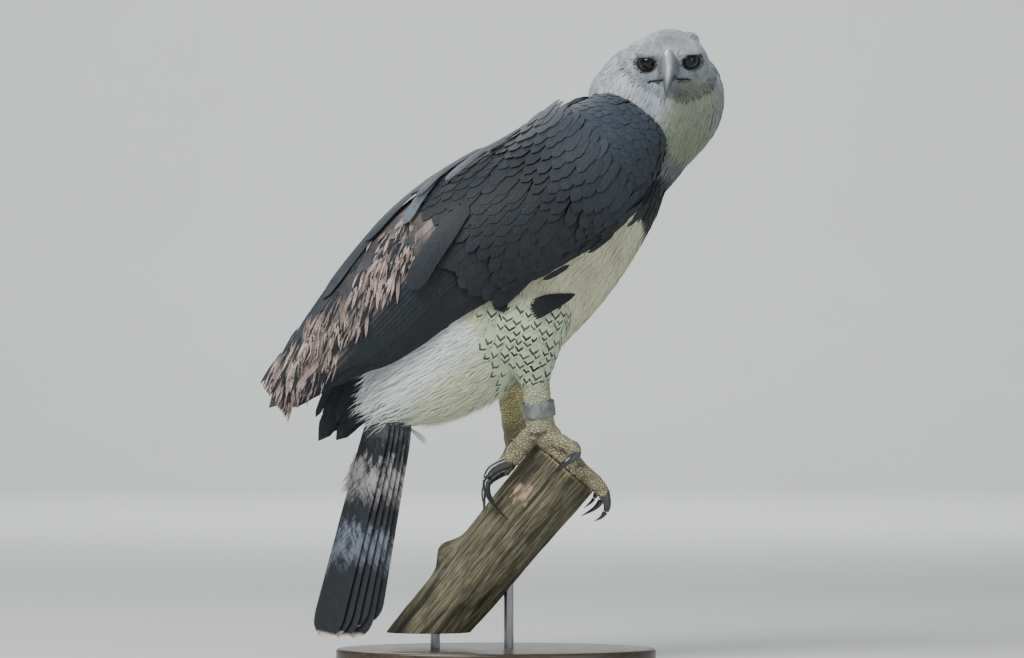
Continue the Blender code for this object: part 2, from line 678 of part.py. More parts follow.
def wing_core_form(name):
    rings = 14

    def place(row, turn):
        latitude = math.pi * (0.5 - row / rings)
        share = 0.5 - 0.5 * math.sin(latitude)
        belt = math.cos(latitude) ** 0.45 if 0 < row < rings else 0.0
        first, last = WING_CORE[0][0], WING_CORE[-1][0]
        along = first + (last - first) * share
        across = 0.49 + 0.49 * math.cos(turn) * belt
        outer, inner = smooth(WING_CORE, along)
        outer -= WING_CORE_FALL * across
        middle, thick = (outer + inner) / 2, (outer - inner) / 2
        full = math.copysign(abs(math.sin(turn)) ** 0.6, math.sin(turn))
        return wing_point(along, across, middle + thick * full * belt, name)

    return drawn_form(18, rings, place)


def between(pair, share):
    return pair[0] + (pair[1] - pair[0]) * share


def wing_vane(tier, index, name):
    """One feather of a tier, lying on the wing's sheet at a lift of its own."""
    share = index / (tier["count"] - 1)
    root, tip = between(tier["root"], share), between(tier["tip"], share)
    start, end = between(tier["across"], share), between(tier["tip_across"], share)
    lift = between(tier["lift"], share)
    half_width = tier["half_width"] * (1.0 + 0.05 * math.sin(5.0 * index))

    def point(part, side, face):
        along = root + (tip - root) * part
        across = start + (end - start) * part
        reach = side * min(half_width * blade(part) / wing_scale(along, across, name), VANE_REACH)
        thick = VANE_THICKNESS if side == 0 else VANE_EDGE
        return wing_point(along, across + reach, lift + face * thick / 2, name)

    return vane_form(tier["steps"], point)


def make_wing(name):
    wing = obj_from(wing_core_form(name), f"wing_{name}", "slate_feather", BIRD)
    vanes = [
        cutter(wing_vane(tier, index, name), BIRD)
        for tier in TIERS
        for index in range(tier["count"])
    ]
    join(wing, vanes)
    cut(wing, [cutter(torso_form(GAP), BIRD)])
    cut(wing, [cutter(neck_form(GAP), BIRD)])
    cut(wing, [cutter(thigh_form(name, GAP), BIRD)])
    return wing


def tail_frame():
    along = (TAIL_TIP - TAIL_ROOT).normalized()
    side = Vector((0.0, 1.0, 0.0))
    dorsal = along.cross(side).normalized()
    if dorsal.x > 0:
        dorsal = -dorsal
    turn = Matrix.Rotation(TAIL_TWIST, 3, along)
    return along, turn @ side, turn @ dorsal


def tail_point(distance, arc, lift):
    """A point of the tail's arched sheet: distance from the root, arc across it, lift over it."""
    along, side, dorsal = tail_frame()
    length = (TAIL_TIP - TAIL_ROOT).length
    radius = between(TAIL_ARCH, min(max(distance / length, 0.0), 1.0))
    turn = arc / radius
    return (
        TAIL_ROOT + along * distance
        + side * (radius + lift) * math.sin(turn)
        + dorsal * ((radius + lift) * math.cos(turn) - radius)
    )


def tail_vane(pair, side):
    length = (TAIL_TIP - TAIL_ROOT).length
    reach = length * (1.0 - 0.012 * pair - 0.0015 * pair * pair)
    lift = -TAIL_LAYER * pair - (TAIL_LAYER / 2 if side > 0 else 0.0)

    def point(part, edge, face):
        distance = -0.012 + (reach + 0.012) * part
        middle = side * (pair + 0.45) * between(TAIL_STEP, part)
        half = TAIL_HALF_WIDTH * blade(part, 0.42)
        thick = VANE_THICKNESS if edge == 0 else VANE_EDGE
        return tail_point(distance, middle + edge * half, lift + face * thick / 2)

    return vane_form(TAIL_STEPS, point)


def undertail_vane(index):
    """A soft feather under the tail's root."""
    spread = (index / (UNDERTAIL - 1) - 0.5) * 2.0
    reach = UNDERTAIL_LENGTH * (1.0 - 0.15 * abs(spread))

    def point(part, edge, face):
        distance = 0.006 + reach * part
        middle = spread * (0.012 + 0.030 * part)
        thick = VANE_THICKNESS if edge == 0 else VANE_EDGE
        lift = -0.017 - 0.005 * part - 0.0014 * (index % 2) + face * thick / 2
        return tail_point(distance, middle + edge * 0.014 * blade(part), lift)

    return vane_form(3, point)


def tail_core_form():
    rings = 10

    def place(row, turn):
        latitude = math.pi * (0.5 - row / rings)
        share = 0.5 - 0.5 * math.sin(latitude)
        belt = math.cos(latitude) ** 0.6 if 0 < row < rings else 0.0
        distance = -0.030 + 0.105 * share
        return tail_point(
            distance, 0.030 * math.cos(turn) * belt, -0.009 + 0.014 * math.sin(turn) * belt
        )

    return drawn_form(16, rings, place)


def make_tail():
    tail = obj_from(tail_core_form(), "tail", "tail_feather", BIRD)
    vanes = [
        cutter(tail_vane(pair, side), BIRD)
        for pair in range(TAIL_PAIRS)
        for side in (1.0, -1.0)
    ]
    vanes += [cutter(undertail_vane(index), BIRD) for index in range(UNDERTAIL)]
    join(tail, vanes)
    cut(tail, [cutter(torso_form(GAP), BIRD)])
    return tail


def thigh_form(name, grow=0.0):
    return rounded_form(LEGS[name]["thigh"], 16, 11, blunt=0.45, grow=grow)


def shin_form(name, grow=0.0):
    leg = LEGS[name]
    top, ankle = leg["shin_top"], leg["ankle"]

    def radius(share):
        return SHIN_RADIUS + (ANKLE_RADIUS - SHIN_RADIUS) * share**2

    middle = top.lerp(ankle, 0.5)
    return tube_form((top, middle, ankle), radius, 14, 8, grow=grow)


def branch_point(p):
    return FACE_CENTRE + U * p[0] + V * p[1] + W * p[2]


def branch_form(grow=0.0):
    """The branch: a slightly uneven log with a sawn top and a level lower end."""
    length = 0.330

    def place(row, turn):
        share = min(max((row - 1) / (BRANCH_RINGS - 2), 0.0), 1.0)
        down = -length * share
        if row in (0, BRANCH_RINGS):
            return branch_point((down, 0.0, 0.0))
        radius = BRANCH_TOP_RADIUS + (BRANCH_LOW_RADIUS - BRANCH_TOP_RADIUS) * share
        radius *= 1.0 + 0.018 * math.sin(3 * turn + 9 * share) * min(share * 6, 1.0)
        radius *= 1.0 + 0.012 * math.sin(5 * turn - 14 * share) * min(share * 6, 1.0)
        return branch_point((down, radius * math.cos(turn), radius * math.sin(turn)))

    return swollen(drawn_form(BRANCH_SIDES, BRANCH_RINGS, place), grow)


def make_branch():
    branch = obj_from(branch_form(), "perch_branch", "branch_wood")
    join(branch, [cutter(knot_form())])
    below = bmesh.new()
    bmesh.ops.create_cube(below, size=1.0)
    bmesh.ops.translate(below, vec=(-0.15, 0.0, BRANCH_FOOT - 0.5), verts=below.verts[:])
    cut(branch, [cutter(below)])
    return branch


def knot_form():
    return ellipsoid(branch_point(KNOT_PLACE), KNOT_RADII, 12, 8)


def toe_form(toe, grow=0.0):
    first, last = toe["radius"]

    def radius(share):
        knuckle = 0.05 * math.cos(share * 5 * math.pi)
        return (first + (last - first) * share) * (1.0 + knuckle)

    return tube_form(toe["path"], radius, 8, 7, frame=branch_point, grow=grow)


def claw_form(toe, grow=0.0):
    """A claw, from a flat root just inside the toe's end to its point."""
    points = [Vector(p) for p in toe["claw"]]
    points[0] = points[0] - (points[1] - points[0]).normalized() * CLAW_SINK

    def radius(share):
        return toe["claw_radius"] * (1.0 - 0.93 * share**1.15)

    return tube_form(points, radius, 8, 8, frame=branch_point, grow=grow)


def make_foot(name):
    palm = ellipsoid(branch_point(PALMS[name]), PALM_RADII, 10, 8)
    foot = obj_from(palm, f"foot_{name}", "leg_scale")
    join(foot, [cutter(toe_form(toe)) for toe in TOES[name].values()])
    cut(foot, [cutter(branch_form(GAP))])
    cut(foot, [cutter(shin_form(name, GAP), BIRD)])
    for toe in TOES[name].values():
        cut(foot, [cutter(claw_form(toe, GAP))])
    return foot


def make_legs():
    made = []
    for name in SIDES:
        thigh = obj_from(thigh_form(name), f"thigh_{name}", "barred_feather", BIRD)
        cut(thigh, [cutter(torso_form(GAP), BIRD)])
        cut(thigh, [cutter(shin_form(name, GAP), BIRD)])
        shin = obj_from(shin_form(name), f"shin_{name}", "leg_scale", BIRD)
        cut(shin, [cutter(torso_form(GAP), BIRD)])
        foot = make_foot(name)
        made += [thigh, shin, foot]
        for toe_name, toe in TOES[name].items():
            claw = obj_from(claw_form(toe), f"claw_{name}_{toe_name}", "claw_horn")
            made.append(claw)
    return made


def make_band():
    """The metal ring on the right shin."""
    leg = LEGS["right"]
    along = (leg["ankle"] - leg["shin_top"]).normalized()
    centre = leg["shin_top"].lerp(leg["ankle"], BAND_SHARE)
    inner = ANKLE_RADIUS + 0.0008
    bm = bmesh.new()
    bmesh.ops.create_circle(bm, segments=4, radius=1.0)
    corners = sorted(bm.verts, key=lambda v: math.atan2(v.co.y, v.co.x))
    half = BAND_WIDTH / 2
    outline = ((inner, -half), (inner + BAND_WALL, -half), (inner + BAND_WALL, half), (inner, half))
    for vert, (x, z) in zip(corners, outline):
        vert.co = (x, 0.0, z)
    bmesh.ops.spin(
        bm, geom=bm.verts[:] + bm.edges[:], cent=(0, 0, 0), axis=(0, 0, 1),
        angle=2 * math.pi, steps=20, use_merge=True,
    )
    bmesh.ops.remove_doubles(bm, verts=bm.verts[:], dist=1e-6)
    outward(bm)
    turn = along.to_track_quat("Z", "Y").to_matrix().to_4x4()
    return obj_from(bm, "leg_band", "band_metal", BIRD @ Matrix.Translation(centre) @ turn)


def make_stand():
    bm = bmesh.new()
    bmesh.ops.create_cone(
        bm, cap_ends=True, cap_tris=False, segments=36, radius1=1.0, radius2=1.0, depth=BASE_HEIGHT
    )
    bmesh.ops.scale(bm, vec=(BASE_HALF_LENGTH, BASE_HALF_WIDTH, 1.0), verts=bm.verts[:])
    bmesh.ops.translate(
        bm, vec=BASE_CENTRE + Vector((0.0, 0.0, BASE_HEIGHT / 2)), verts=bm.verts[:]
    )
    rim = [e for e in bm.edges if all(v.co.z > BASE_HEIGHT * 0.9 for v in e.verts)]
    bmesh.ops.bevel(
        bm, geom=rim, offset=BASE_BEVEL, affect="EDGES", segments=2, profile=0.5, material=-1
    )
    base = obj_from(bm, "stand_base", "stand_board")
    rods = []
    for number, ((x, y), reach) in enumerate(zip(ROD_PLACES, ROD_REACHES), 1):
        bm = bmesh.new()
        bmesh.ops.create_cone(
            bm, cap_ends=True, cap_tris=False, segments=16,
            radius1=ROD_RADIUS, radius2=ROD_RADIUS, depth=reach,
        )
        bmesh.ops.translate(
            bm, vec=(x, y, BASE_HEIGHT + GAP + reach / 2), verts=bm.verts[:]
        )
        rod = obj_from(bm, f"stand_rod_{number}", "stand_steel")
        below = bmesh.new()
        bmesh.ops.create_cube(below, size=1.0)
        bmesh.ops.translate(below, vec=(-0.15, 0.0, BRANCH_FOOT - 0.5 - GAP), verts=below.verts[:])
        branch = cutter(branch_form(GAP))
        cut(branch, [cutter(below)])
        cut(rod, [branch])
        rods.append(rod)
    return [base, *rods]


def make_neck():
    neck = obj_from(neck_form(), "neck", "grey_feather", BIRD)
    cut(neck, [cutter(torso_form(GAP), BIRD)])
    cut(neck, [cutter(head_form(GAP), HEAD)])
    cut(neck, [cutter(swollen(crest_vane(i), GAP), HEAD) for i in range(len(CREST_LENGTHS))])
    return neck


def centre_on_floor():
    """The finished model is moved so that the middle of its underside is the origin."""
    bpy.context.view_layer.update()
    corners = [
        obj.matrix_world @ Vector(corner)
        for obj in bpy.context.scene.objects
        for corner in obj.bound_box
    ]
    low = Vector([min(c[k] for c in corners) for k in range(3)])
    high = Vector([max(c[k] for c in corners) for k in range(3)])
    shift = Vector((-(low.x + high.x) / 2, -(low.y + high.y) / 2, -low.z))
    for obj in bpy.context.scene.objects:
        obj.data.transform(Matrix.Translation(shift))


def main():
    for obj in list(bpy.data.objects):
        bpy.data.objects.remove(obj, do_unlink=True)
    obj_from(torso_form(), "torso", "white_feather", BIRD)
    make_neck()
    make_head()
    make_bill()
    make_eyes()
    for name in SIDES:
        make_wing(name)
    make_tail()
    make_legs()
    make_band()
    make_branch()
    make_stand()
    for obj in bpy.context.scene.objects:
        shade(obj)
    centre_on_floor()


main()
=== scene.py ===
"""Harpy eagle on a cut branch: its skin, feathers, horn, branch and stand, dressed over the solids.

Metres, +Z up. Pieces are laid out as the solids are, in the frames of the bird, head, wing,
tail and branch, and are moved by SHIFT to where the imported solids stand.
"""

import math

import bmesh
import bpy
import numpy as np
from mathutils import Matrix, Vector, noise
from mathutils.bvhtree import BVHTree
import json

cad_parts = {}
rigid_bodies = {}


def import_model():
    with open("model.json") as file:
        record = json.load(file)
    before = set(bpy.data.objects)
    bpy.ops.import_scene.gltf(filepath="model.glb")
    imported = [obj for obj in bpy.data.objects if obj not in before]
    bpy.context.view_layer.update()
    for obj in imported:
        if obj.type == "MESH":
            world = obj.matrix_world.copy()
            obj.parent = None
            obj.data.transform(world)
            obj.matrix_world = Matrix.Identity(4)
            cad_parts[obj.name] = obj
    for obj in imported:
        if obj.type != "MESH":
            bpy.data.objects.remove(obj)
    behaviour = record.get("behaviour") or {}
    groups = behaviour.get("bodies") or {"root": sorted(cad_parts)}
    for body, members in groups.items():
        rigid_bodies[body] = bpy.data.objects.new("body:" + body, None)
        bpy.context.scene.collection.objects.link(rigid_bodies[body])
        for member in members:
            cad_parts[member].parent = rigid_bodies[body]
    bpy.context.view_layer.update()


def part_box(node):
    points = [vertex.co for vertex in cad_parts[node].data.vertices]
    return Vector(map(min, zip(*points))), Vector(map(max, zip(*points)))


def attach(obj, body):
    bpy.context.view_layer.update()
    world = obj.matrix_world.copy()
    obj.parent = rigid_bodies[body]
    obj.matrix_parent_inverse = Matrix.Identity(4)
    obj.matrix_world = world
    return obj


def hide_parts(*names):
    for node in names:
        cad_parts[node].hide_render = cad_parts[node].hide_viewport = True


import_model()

UP = Vector((0.0, 0.0, 1.0))
ACROSS = Vector((0.0, 1.0, 0.0))
BASE_CENTRE = Vector((-0.020, 0.0, 0.0))
board_low, board_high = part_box("stand_base")
SHIFT = Vector((
    (board_low.x + board_high.x) / 2 - BASE_CENTRE.x,
    (board_low.y + board_high.y) / 2 - BASE_CENTRE.y,
    0.0,
))
BIRD = Matrix.Translation(SHIFT) @ Matrix.Rotation(math.radians(15), 4, "Z")
BIRD_BACK = BIRD.inverted()
SIDES = {"right": -1.0, "left": 1.0}
SEED = np.random.default_rng(20)

# The forms of the body, as in the solids.
TORSO = (
    (0.00, -0.166, 0.0, 0.330, 0.050, 0.050, 0.048),
    (0.17, -0.110, 0.0, 0.360, 0.074, 0.076, 0.066),
    (0.38, -0.046, 0.0, 0.422, 0.098, 0.094, 0.082),
    (0.60, 0.034, 0.0, 0.518, 0.112, 0.108, 0.092),
    (0.78, 0.096, 0.0, 0.590, 0.098, 0.106, 0.088),
    (0.92, 0.140, 0.0, 0.640, 0.070, 0.102, 0.078),
    (1.00, 0.168, 0.0, 0.672, 0.056, 0.080, 0.060),
)
NECK = (
    (0.00, 0.136, 0.000, 0.590, 0.070, 0.070, 0.066),
    (0.30, 0.164, -0.002, 0.645, 0.080, 0.068, 0.068),
    (0.60, 0.188, -0.006, 0.702, 0.092, 0.086, 0.072),
    (0.85, 0.199, -0.002, 0.750, 0.084, 0.088, 0.068),
    (1.00, 0.204, 0.000, 0.785, 0.074, 0.074, 0.060),
)
HEAD = (
    Matrix.Translation(SHIFT + Vector((0.196, 0.022, 0.752)))
    @ Matrix.Rotation(math.radians(-91), 4, "Z")
    @ Matrix.Rotation(math.radians(5), 4, "Y")
    @ Matrix.Rotation(math.radians(3), 4, "X")
)
HEAD_BACK_TURN = HEAD.inverted()
HEAD_FRONT = 0.056
HEAD_BACK = 0.062
HEAD_HALF_WIDTH = 0.052
HEAD_CROWN = 0.044
HEAD_THROAT = 0.052
BROW_RIDGE = 0.0045
EYE_PLACE = Vector((0.0395, 0.0248, 0.0045))
EYE_RADIUS = 0.0120
UPPER_BILL = (
    (0.00, 0.032, 0.003, 0.0150, 0.0112),
    (0.30, 0.055, 0.004, 0.0158, 0.0116),
    (0.52, 0.071, -0.002, 0.0130, 0.0094),
    (0.70, 0.082, -0.013, 0.0092, 0.0066),
    (0.86, 0.0865, -0.026, 0.0056, 0.0042),
    (1.00, 0.0850, -0.038, 0.0016, 0.0014),
)
LOWER_BILL = (
    (0.00, 0.030, -0.0145, 0.0070, 0.0125),
    (0.55, 0.056, -0.0160, 0.0058, 0.0092),
    (0.85, 0.067, -0.0172, 0.0040, 0.0058),
    (1.00, 0.072, -0.0185, 0.0018, 0.0026),
)
NOSTRIL = Vector((0.060, 0.0105, 0.0065))

# The folded wing's sheet and the flesh in it.
WING_SHOULDER = Vector((0.141, 0.0, 0.643))
WING_AXIS = Vector((-0.807, 0.0, -0.590)).normalized()
WING_RISE = Vector((-0.590, 0.0, 0.807)).normalized()
WING = (
    (-0.068, 0.012, -0.018, 0.040),
    (-0.050, 0.042, -0.036, 0.062),
    (-0.020, 0.070, -0.052, 0.082),
    (0.020, 0.077, -0.063, 0.096),
    (0.107, 0.081, -0.068, 0.104),
    (0.177, 0.094, -0.064, 0.104),
    (0.245, 0.100, -0.050, 0.099),
    (0.314, 0.096, -0.036, 0.087),
    (0.393, 0.080, -0.031, 0.069),
    (0.454, 0.062, -0.020, 0.055),
    (0.536, 0.036, -0.011, 0.039),
    (0.590, 0.016, -0.004, 0.030),
)
WING_WIDEST = 0.42
WING_TOP_TURN = math.radians(8)
WING_TIP_TURN = math.radians(40)
WING_FLAT_FROM = 0.22
WING_FLAT_OVER = 0.30
WING_LOW_TURN = math.radians(28)
WING_MIDLINE_TURN = math.radians(3.5)
WING_DROOP = {"right": 0.0, "left": 0.15}
WING_REACH = {"right": 1.0, "left": 0.93}
WING_CORE = (
    (-0.062, 0.004, -0.008),
    (-0.030, 0.016, -0.014),
    (0.040, 0.0255, -0.016),
    (0.075, 0.0255, -0.016),
    (0.125, 0.0205, -0.015),
    (0.175, 0.0175, -0.013),
    (0.205, 0.0145, -0.012),
    (0.240, 0.0100, -0.011),
    (0.275, 0.0030, -0.010),
    (0.330, -0.0040, -0.009),
)
WING_CORE_FALL = 0.0105

# The tail's arched sheet.
TAIL_ROOT = Vector((-0.150, 0.0, 0.396))
TAIL_TIP = Vector((-0.243, 0.0, 0.036))
TAIL_TWIST = math.radians(-33)
TAIL_ARCH = (0.034, 0.080)
TAIL_STEP = (0.0026, 0.0088)

# The legs, in the bird's frame.
LEGS = {
    "right": dict(
        thigh=(
            (0.00, 0.008, -0.046, 0.500, 0.046, 0.046, 0.030),
            (0.34, 0.000, -0.052, 0.455, 0.062, 0.062, 0.040),
            (0.64, 0.006, -0.052, 0.408, 0.052, 0.054, 0.037),
            (0.86, 0.014, -0.048, 0.370, 0.034, 0.036, 0.028),
            (1.00, 0.020, -0.045, 0.338, 0.022, 0.023, 0.021),
        ),
        shin_top=Vector((0.014, -0.047, 0.384)),
        ankle=Vector((0.027, -0.040, 0.292)),
    ),
    "left": dict(
        thigh=(
            (0.00, 0.000, 0.046, 0.490, 0.046, 0.046, 0.030),
            (0.34, -0.010, 0.052, 0.445, 0.062, 0.062, 0.040),
            (0.64, -0.008, 0.050, 0.398, 0.052, 0.054, 0.037),
            (0.86, 0.002, 0.045, 0.360, 0.034, 0.036, 0.028),
            (1.00, 0.009, 0.041, 0.328, 0.022, 0.023, 0.021),
        ),
        shin_top=Vector((0.003, 0.043, 0.374)),
        ankle=Vector((0.018, 0.026, 0.270)),
    ),
}
SHIN_RADIUS = 0.0165
ANKLE_RADIUS = 0.0185
BAND_WIDTH = 0.019
BAND_WALL = 0.0012
BAND_SHARE = 0.70

# The branch's frame: u up along it out of the sawn face, v up and back, w into the scene. Toes and
# claws are laid out in it, each claw from the end of its toe.
FACE_CENTRE = Vector((0.066, 0.0, 0.246)) + SHIFT
BRANCH_TILT = math.radians(50.2)
U = Vector((math.cos(BRANCH_TILT), 0.0, math.sin(BRANCH_TILT)))
V = Vector((-math.sin(BRANCH_TILT), 0.0, math.cos(BRANCH_TILT)))
W = ACROSS
BRANCH_TOP_RADIUS = 0.0465
BRANCH_LOW_RADIUS = 0.0385
BRANCH_LENGTH = 0.330
BRANCH_FOOT = 0.040
KNOT_PLACE = Vector((-0.176, 0.036, 0.002))
TOES = {
    "right": {
        "hallux": dict(path=((0.012, 0.036, -0.028), (0.004, 0.058, -0.030), (-0.018, 0.062, -0.031),
                             (-0.040, 0.0585, -0.031)), radius=(0.0115, 0.0090),
                       claw=((-0.062, 0.0680, -0.036), (-0.081, 0.0600, -0.044),
                             (-0.092, 0.0380, -0.052), (-0.0940, 0.0130, -0.056)), claw_radius=0.0078),
        "inner": dict(path=((0.012, 0.036, -0.024), (0.014, 0.014, -0.015), (0.0115, -0.012, -0.010),
                            (0.0100, -0.036, -0.008)), radius=(0.0110, 0.0085),
                      claw=((0.0070, -0.056, -0.008), (-0.010, -0.062, -0.007),
                            (-0.034, -0.0545, -0.006)), claw_radius=0.0070),
        "middle": dict(path=((0.012, 0.036, -0.030), (0.0155, 0.014, -0.038), (0.0115, -0.014, -0.041),
                             (0.0105, -0.038, -0.039), (0.006, -0.059, -0.036)), radius=(0.0112, 0.0085),
                       claw=((-0.003, -0.0705, -0.036), (-0.016, -0.0740, -0.036),
                             (-0.028, -0.0700, -0.036)), claw_radius=0.0066),
        "outer": dict(path=((0.012, 0.036, -0.032), (0.022, 0.024, -0.046), (0.025, 0.008, -0.056),
                            (0.020, 0.001, -0.0620)), radius=(0.0105, 0.0085),
                      claw=((0.010, 0.003, -0.0680), (-0.004, 0.006, -0.0670),
                            (-0.016, 0.008, -0.0620)), claw_radius=0.0062),
    },
    "left": {
        "hallux": dict(path=((-0.008, 0.052, 0.022), (-0.022, 0.062, 0.018), (-0.040, 0.0605, 0.012),
                             (-0.056, 0.0580, 0.008)), radius=(0.0115, 0.0090),
                       claw=((-0.072, 0.0620, 0.000), (-0.088, 0.0580, -0.010),
                             (-0.100, 0.0480, -0.018), (-0.108, 0.0420, -0.020)), claw_radius=0.0076),
        "inner": dict(path=((-0.008, 0.052, 0.020), (0.010, 0.046, 0.012), (0.0185, 0.028, 0.008),
                            (0.0130, 0.006, 0.009)), radius=(0.0110, 0.0085),
                      claw=((0.0105, -0.008, 0.010), (0.0075, -0.020, 0.010),
                            (0.0045, -0.032, 0.010)), claw_radius=0.0064),
        "middle": dict(path=((-0.008, 0.052, 0.024), (0.012, 0.045, 0.030), (0.0150, 0.022, 0.033),
                             (0.0115, -0.006, 0.034), (0.0100, -0.026, 0.034)), radius=(0.0112, 0.0085),
                       claw=((0.0070, -0.046, 0.034), (-0.008, -0.0540, 0.033),
                             (-0.024, -0.0520, 0.031)), claw_radius=0.0066),
        "outer": dict(path=((-0.008, 0.050, 0.026), (-0.006, 0.046, 0.044), (-0.008, 0.026, 0.058),
                            (-0.012, 0.006, 0.0600)), radius=(0.0105, 0.0085),
                      claw=((-0.018, -0.010, 0.0600), (-0.028, -0.024, 0.0545),
                            (-0.036, -0.034, 0.0470)), claw_radius=0.0062),
    },
}
PALM_RADII = (0.017, 0.019, 0.017)
PALMS = {"right": (0.0160, 0.0400, -0.0290), "left": (-0.0020, 0.0580, 0.0240)}
BASE_HALF_LENGTH = 0.200
BASE_HALF_WIDTH = 0.135
BASE_HEIGHT = 0.020

# How deep the coat lies over the skin.
COAT = {"torso": 0.0060, "neck": 0.0065, "head": 0.0032, "thigh": 0.0048, "wing": 0.0050}

# Colours of skin and coat.
ASH = Vector((0.41, 0.45, 0.50))
ASH_PALE = Vector((0.57, 0.61, 0.65))
ASH_DARK = Vector((0.17, 0.19, 0.21))
# The throat's grey in painted shade, tinted by painted green reflected light.
THROAT_IN_GREEN_SHADE = Vector((0.25, 0.28, 0.19))
COLLAR_BROWN = Vector((0.17, 0.125, 0.095))
SLATE = Vector((0.0165, 0.0215, 0.0275))
SLATE_PALE = Vector((0.042, 0.056, 0.076))
BLACK = Vector((0.0070, 0.0085, 0.0105))
# BELLY and THIGH are white with a painted greenish-yellow cast of reflected light.
BELLY = Vector((0.68, 0.68, 0.48))
DOWN = Vector((0.90, 0.92, 0.92))
# White down under painted green reflected light.
DOWN_IN_GREEN_LIGHT = Vector((0.74, 0.80, 0.56))
THIGH = Vector((0.58, 0.66, 0.47))
WORN = Vector((0.60, 0.46, 0.41))
# Painted sheen of the top light on the ends of the long shoulder feathers.
LONG_TIP_SHEEN = Vector((0.11, 0.135, 0.17))


def smooth(stations, share):
    """The values at share of a smooth curve through the stations (share, value, value, ...)."""
    last = len(stations) - 1
    share = min(max(share, stations[0][0]), stations[last][0])
    i = 0
    while i < last - 1 and share > stations[i + 1][0]:
        i += 1
    before, here = stations[max(i - 1, 0)], stations[i]
    after, beyond = stations[i + 1], stations[min(i + 2, last)]
    width = after[0] - here[0]
    t = (share - here[0]) / width
    a, b = 2 * t**3 - 3 * t**2 + 1, t**3 - 2 * t**2 + t
    c, d = 1.0 - a, t**3 - t**2
    leave = width / max(after[0] - before[0], 1e-9)
    arrive = width / max(beyond[0] - here[0], 1e-9)
    return [
        a * here[k] + b * leave * (after[k] - before[k]) + c * after[k] + d * arrive * (beyond[k] - here[k])
        for k in range(1, len(here))
    ]


def between(pair, share):
    return pair[0] + (pair[1] - pair[0]) * share


def ease(value, low, high):
    """0 below low, 1 above high and a smooth step between them."""
    t = min(max((value - low) / (high - low), 0.0), 1.0)
    return t * t * (3.0 - 2.0 * t)


def even_stations(points):
    lengths = [0.0]
    for a, b in zip(points, points[1:]):
        lengths.append(lengths[-1] + (Vector(b) - Vector(a)).length)
    return tuple((d / lengths[-1], *p) for d, p in zip(lengths, points))


def outward(bm):
    bmesh.ops.recalc_face_normals(bm, faces=bm.faces[:])
    if bm.calc_volume(signed=True) < 0:
        bmesh.ops.reverse_faces(bm, faces=bm.faces[:])
    return bm


def drawn_form(sides, rings, place):
    """A UV sphere whose rows of points are put where place(row, turn) says."""
    bm = bmesh.new()
    bmesh.ops.create_uvsphere(bm, u_segments=sides, v_segments=rings, radius=1.0)
    for vert in bm.verts:
        height = min(max(vert.co.z, -1.0), 1.0)
        row = round((0.5 - math.asin(height) / math.pi) * rings)
        vert.co = place(row, math.atan2(vert.co.y, vert.co.x))
    return outward(bm)


def swollen(bm, grow):
    bm.normal_update()
    moves = [(vert, vert.normal.copy()) for vert in bm.verts]
    for vert, normal in moves:
        vert.co += normal * grow
    return bm


def rounded_form(stations, sides, rings, blunt, grow):
    """A closed form with round ends along a spine, as in the solids."""
    turned = -1.0 if stations in (TORSO, NECK) else 1.0

    def place(row, turn):
        share = 0.5 - 0.5 * math.cos(math.pi * row / rings)
        belt = max(math.sin(math.pi * row / rings), 0.0) ** blunt
        x, y, z, back, front, side = smooth(stations, share)
        ahead = Vector(smooth(stations, min(share + 0.02, 1.0))[:3])
        behind = Vector(smooth(stations, max(share - 0.02, 0.0))[:3])
        along = (ahead - behind).normalized()
        rise = ACROSS.cross(along).normalized() * turned
        depth = front if math.cos(turn) < 0 else back
        centre = Vector((x, y, z))
        return centre + rise * depth * belt * math.cos(turn) + ACROSS * side * belt * math.sin(turn)

    return swollen(drawn_form(sides, rings, place), grow)


def tube_form(points, radii, sides, rings, frame_of=Vector):
    """A tube through points. radii(share, turn) gives its radius."""
    stations = even_stations(points)

    def place(row, turn):
        share = min(max((row - 1) / (rings - 2), 0.0), 1.0)
        centre = frame_of(smooth(stations, share))
        ahead = frame_of(smooth(stations, min(share + 0.03, 1.0)))
        behind = frame_of(smooth(stations, max(share - 0.03, 0.0)))
        along = (ahead - behind).normalized()
        side = along.cross(UP if abs(along.z) < 0.9 else Vector((1.0, 0.0, 0.0))).normalized()
        rise = side.cross(along)
        if row in (0, rings):
            return centre
        return centre + radii(share, turn) * (math.cos(turn) * side + math.sin(turn) * rise)

    return drawn_form(sides, rings, place)


def ellipsoid(centre, radii, sides=24, rings=16):
    bm = bmesh.new()
    bmesh.ops.create_uvsphere(bm, u_segments=sides, v_segments=rings, radius=1.0)
    bmesh.ops.scale(bm, vec=radii, verts=bm.verts[:])
    bmesh.ops.translate(bm, vec=centre, verts=bm.verts[:])
    return bm


def moved(bm, matrix):
    bmesh.ops.transform(bm, matrix=matrix, verts=bm.verts[:])
    return bm


def placed(name, data):
    """A new object in the scene, at the origin."""
    made = bpy.data.objects.new(name, data)
    bpy.context.scene.collection.objects.link(made)
    return made


def piece_from(name, forms, finish):
    """One object from closed forms."""
    mesh = bpy.data.meshes.new(name)
    whole = bmesh.new()
    for form in forms:
        part = bpy.data.meshes.new("part")
        form.to_mesh(part)
        form.free()
        whole.from_mesh(part)
        bpy.data.meshes.remove(part)
    whole.to_mesh(mesh)
    whole.free()
    mesh.shade_smooth()
    if finish is not None:
        mesh.materials.append(finish)
    return placed(name, mesh)


def with_modifier(obj, kind, **settings):
    """The object after one modifier, which is applied."""
    modifier = obj.modifiers.new(kind, kind)
    for key, value in settings.items():
        setattr(modifier, key, value)
    graph = bpy.context.evaluated_depsgraph_get()
    result = bpy.data.meshes.new_from_object(obj.evaluated_get(graph))
    obj.modifiers.clear()
    old = obj.data
    obj.data = result
    bpy.data.meshes.remove(old)
    return obj


def wear(piece, *nodes, slot=None):
    """The piece rides with the object and takes the place of the nodes named."""
    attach(piece, "root")
    if nodes:
        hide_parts(*nodes)
    return piece


LID_OPENING = (0.92, 0.74, 0.40)  # half width, half height and level top, in eye radii
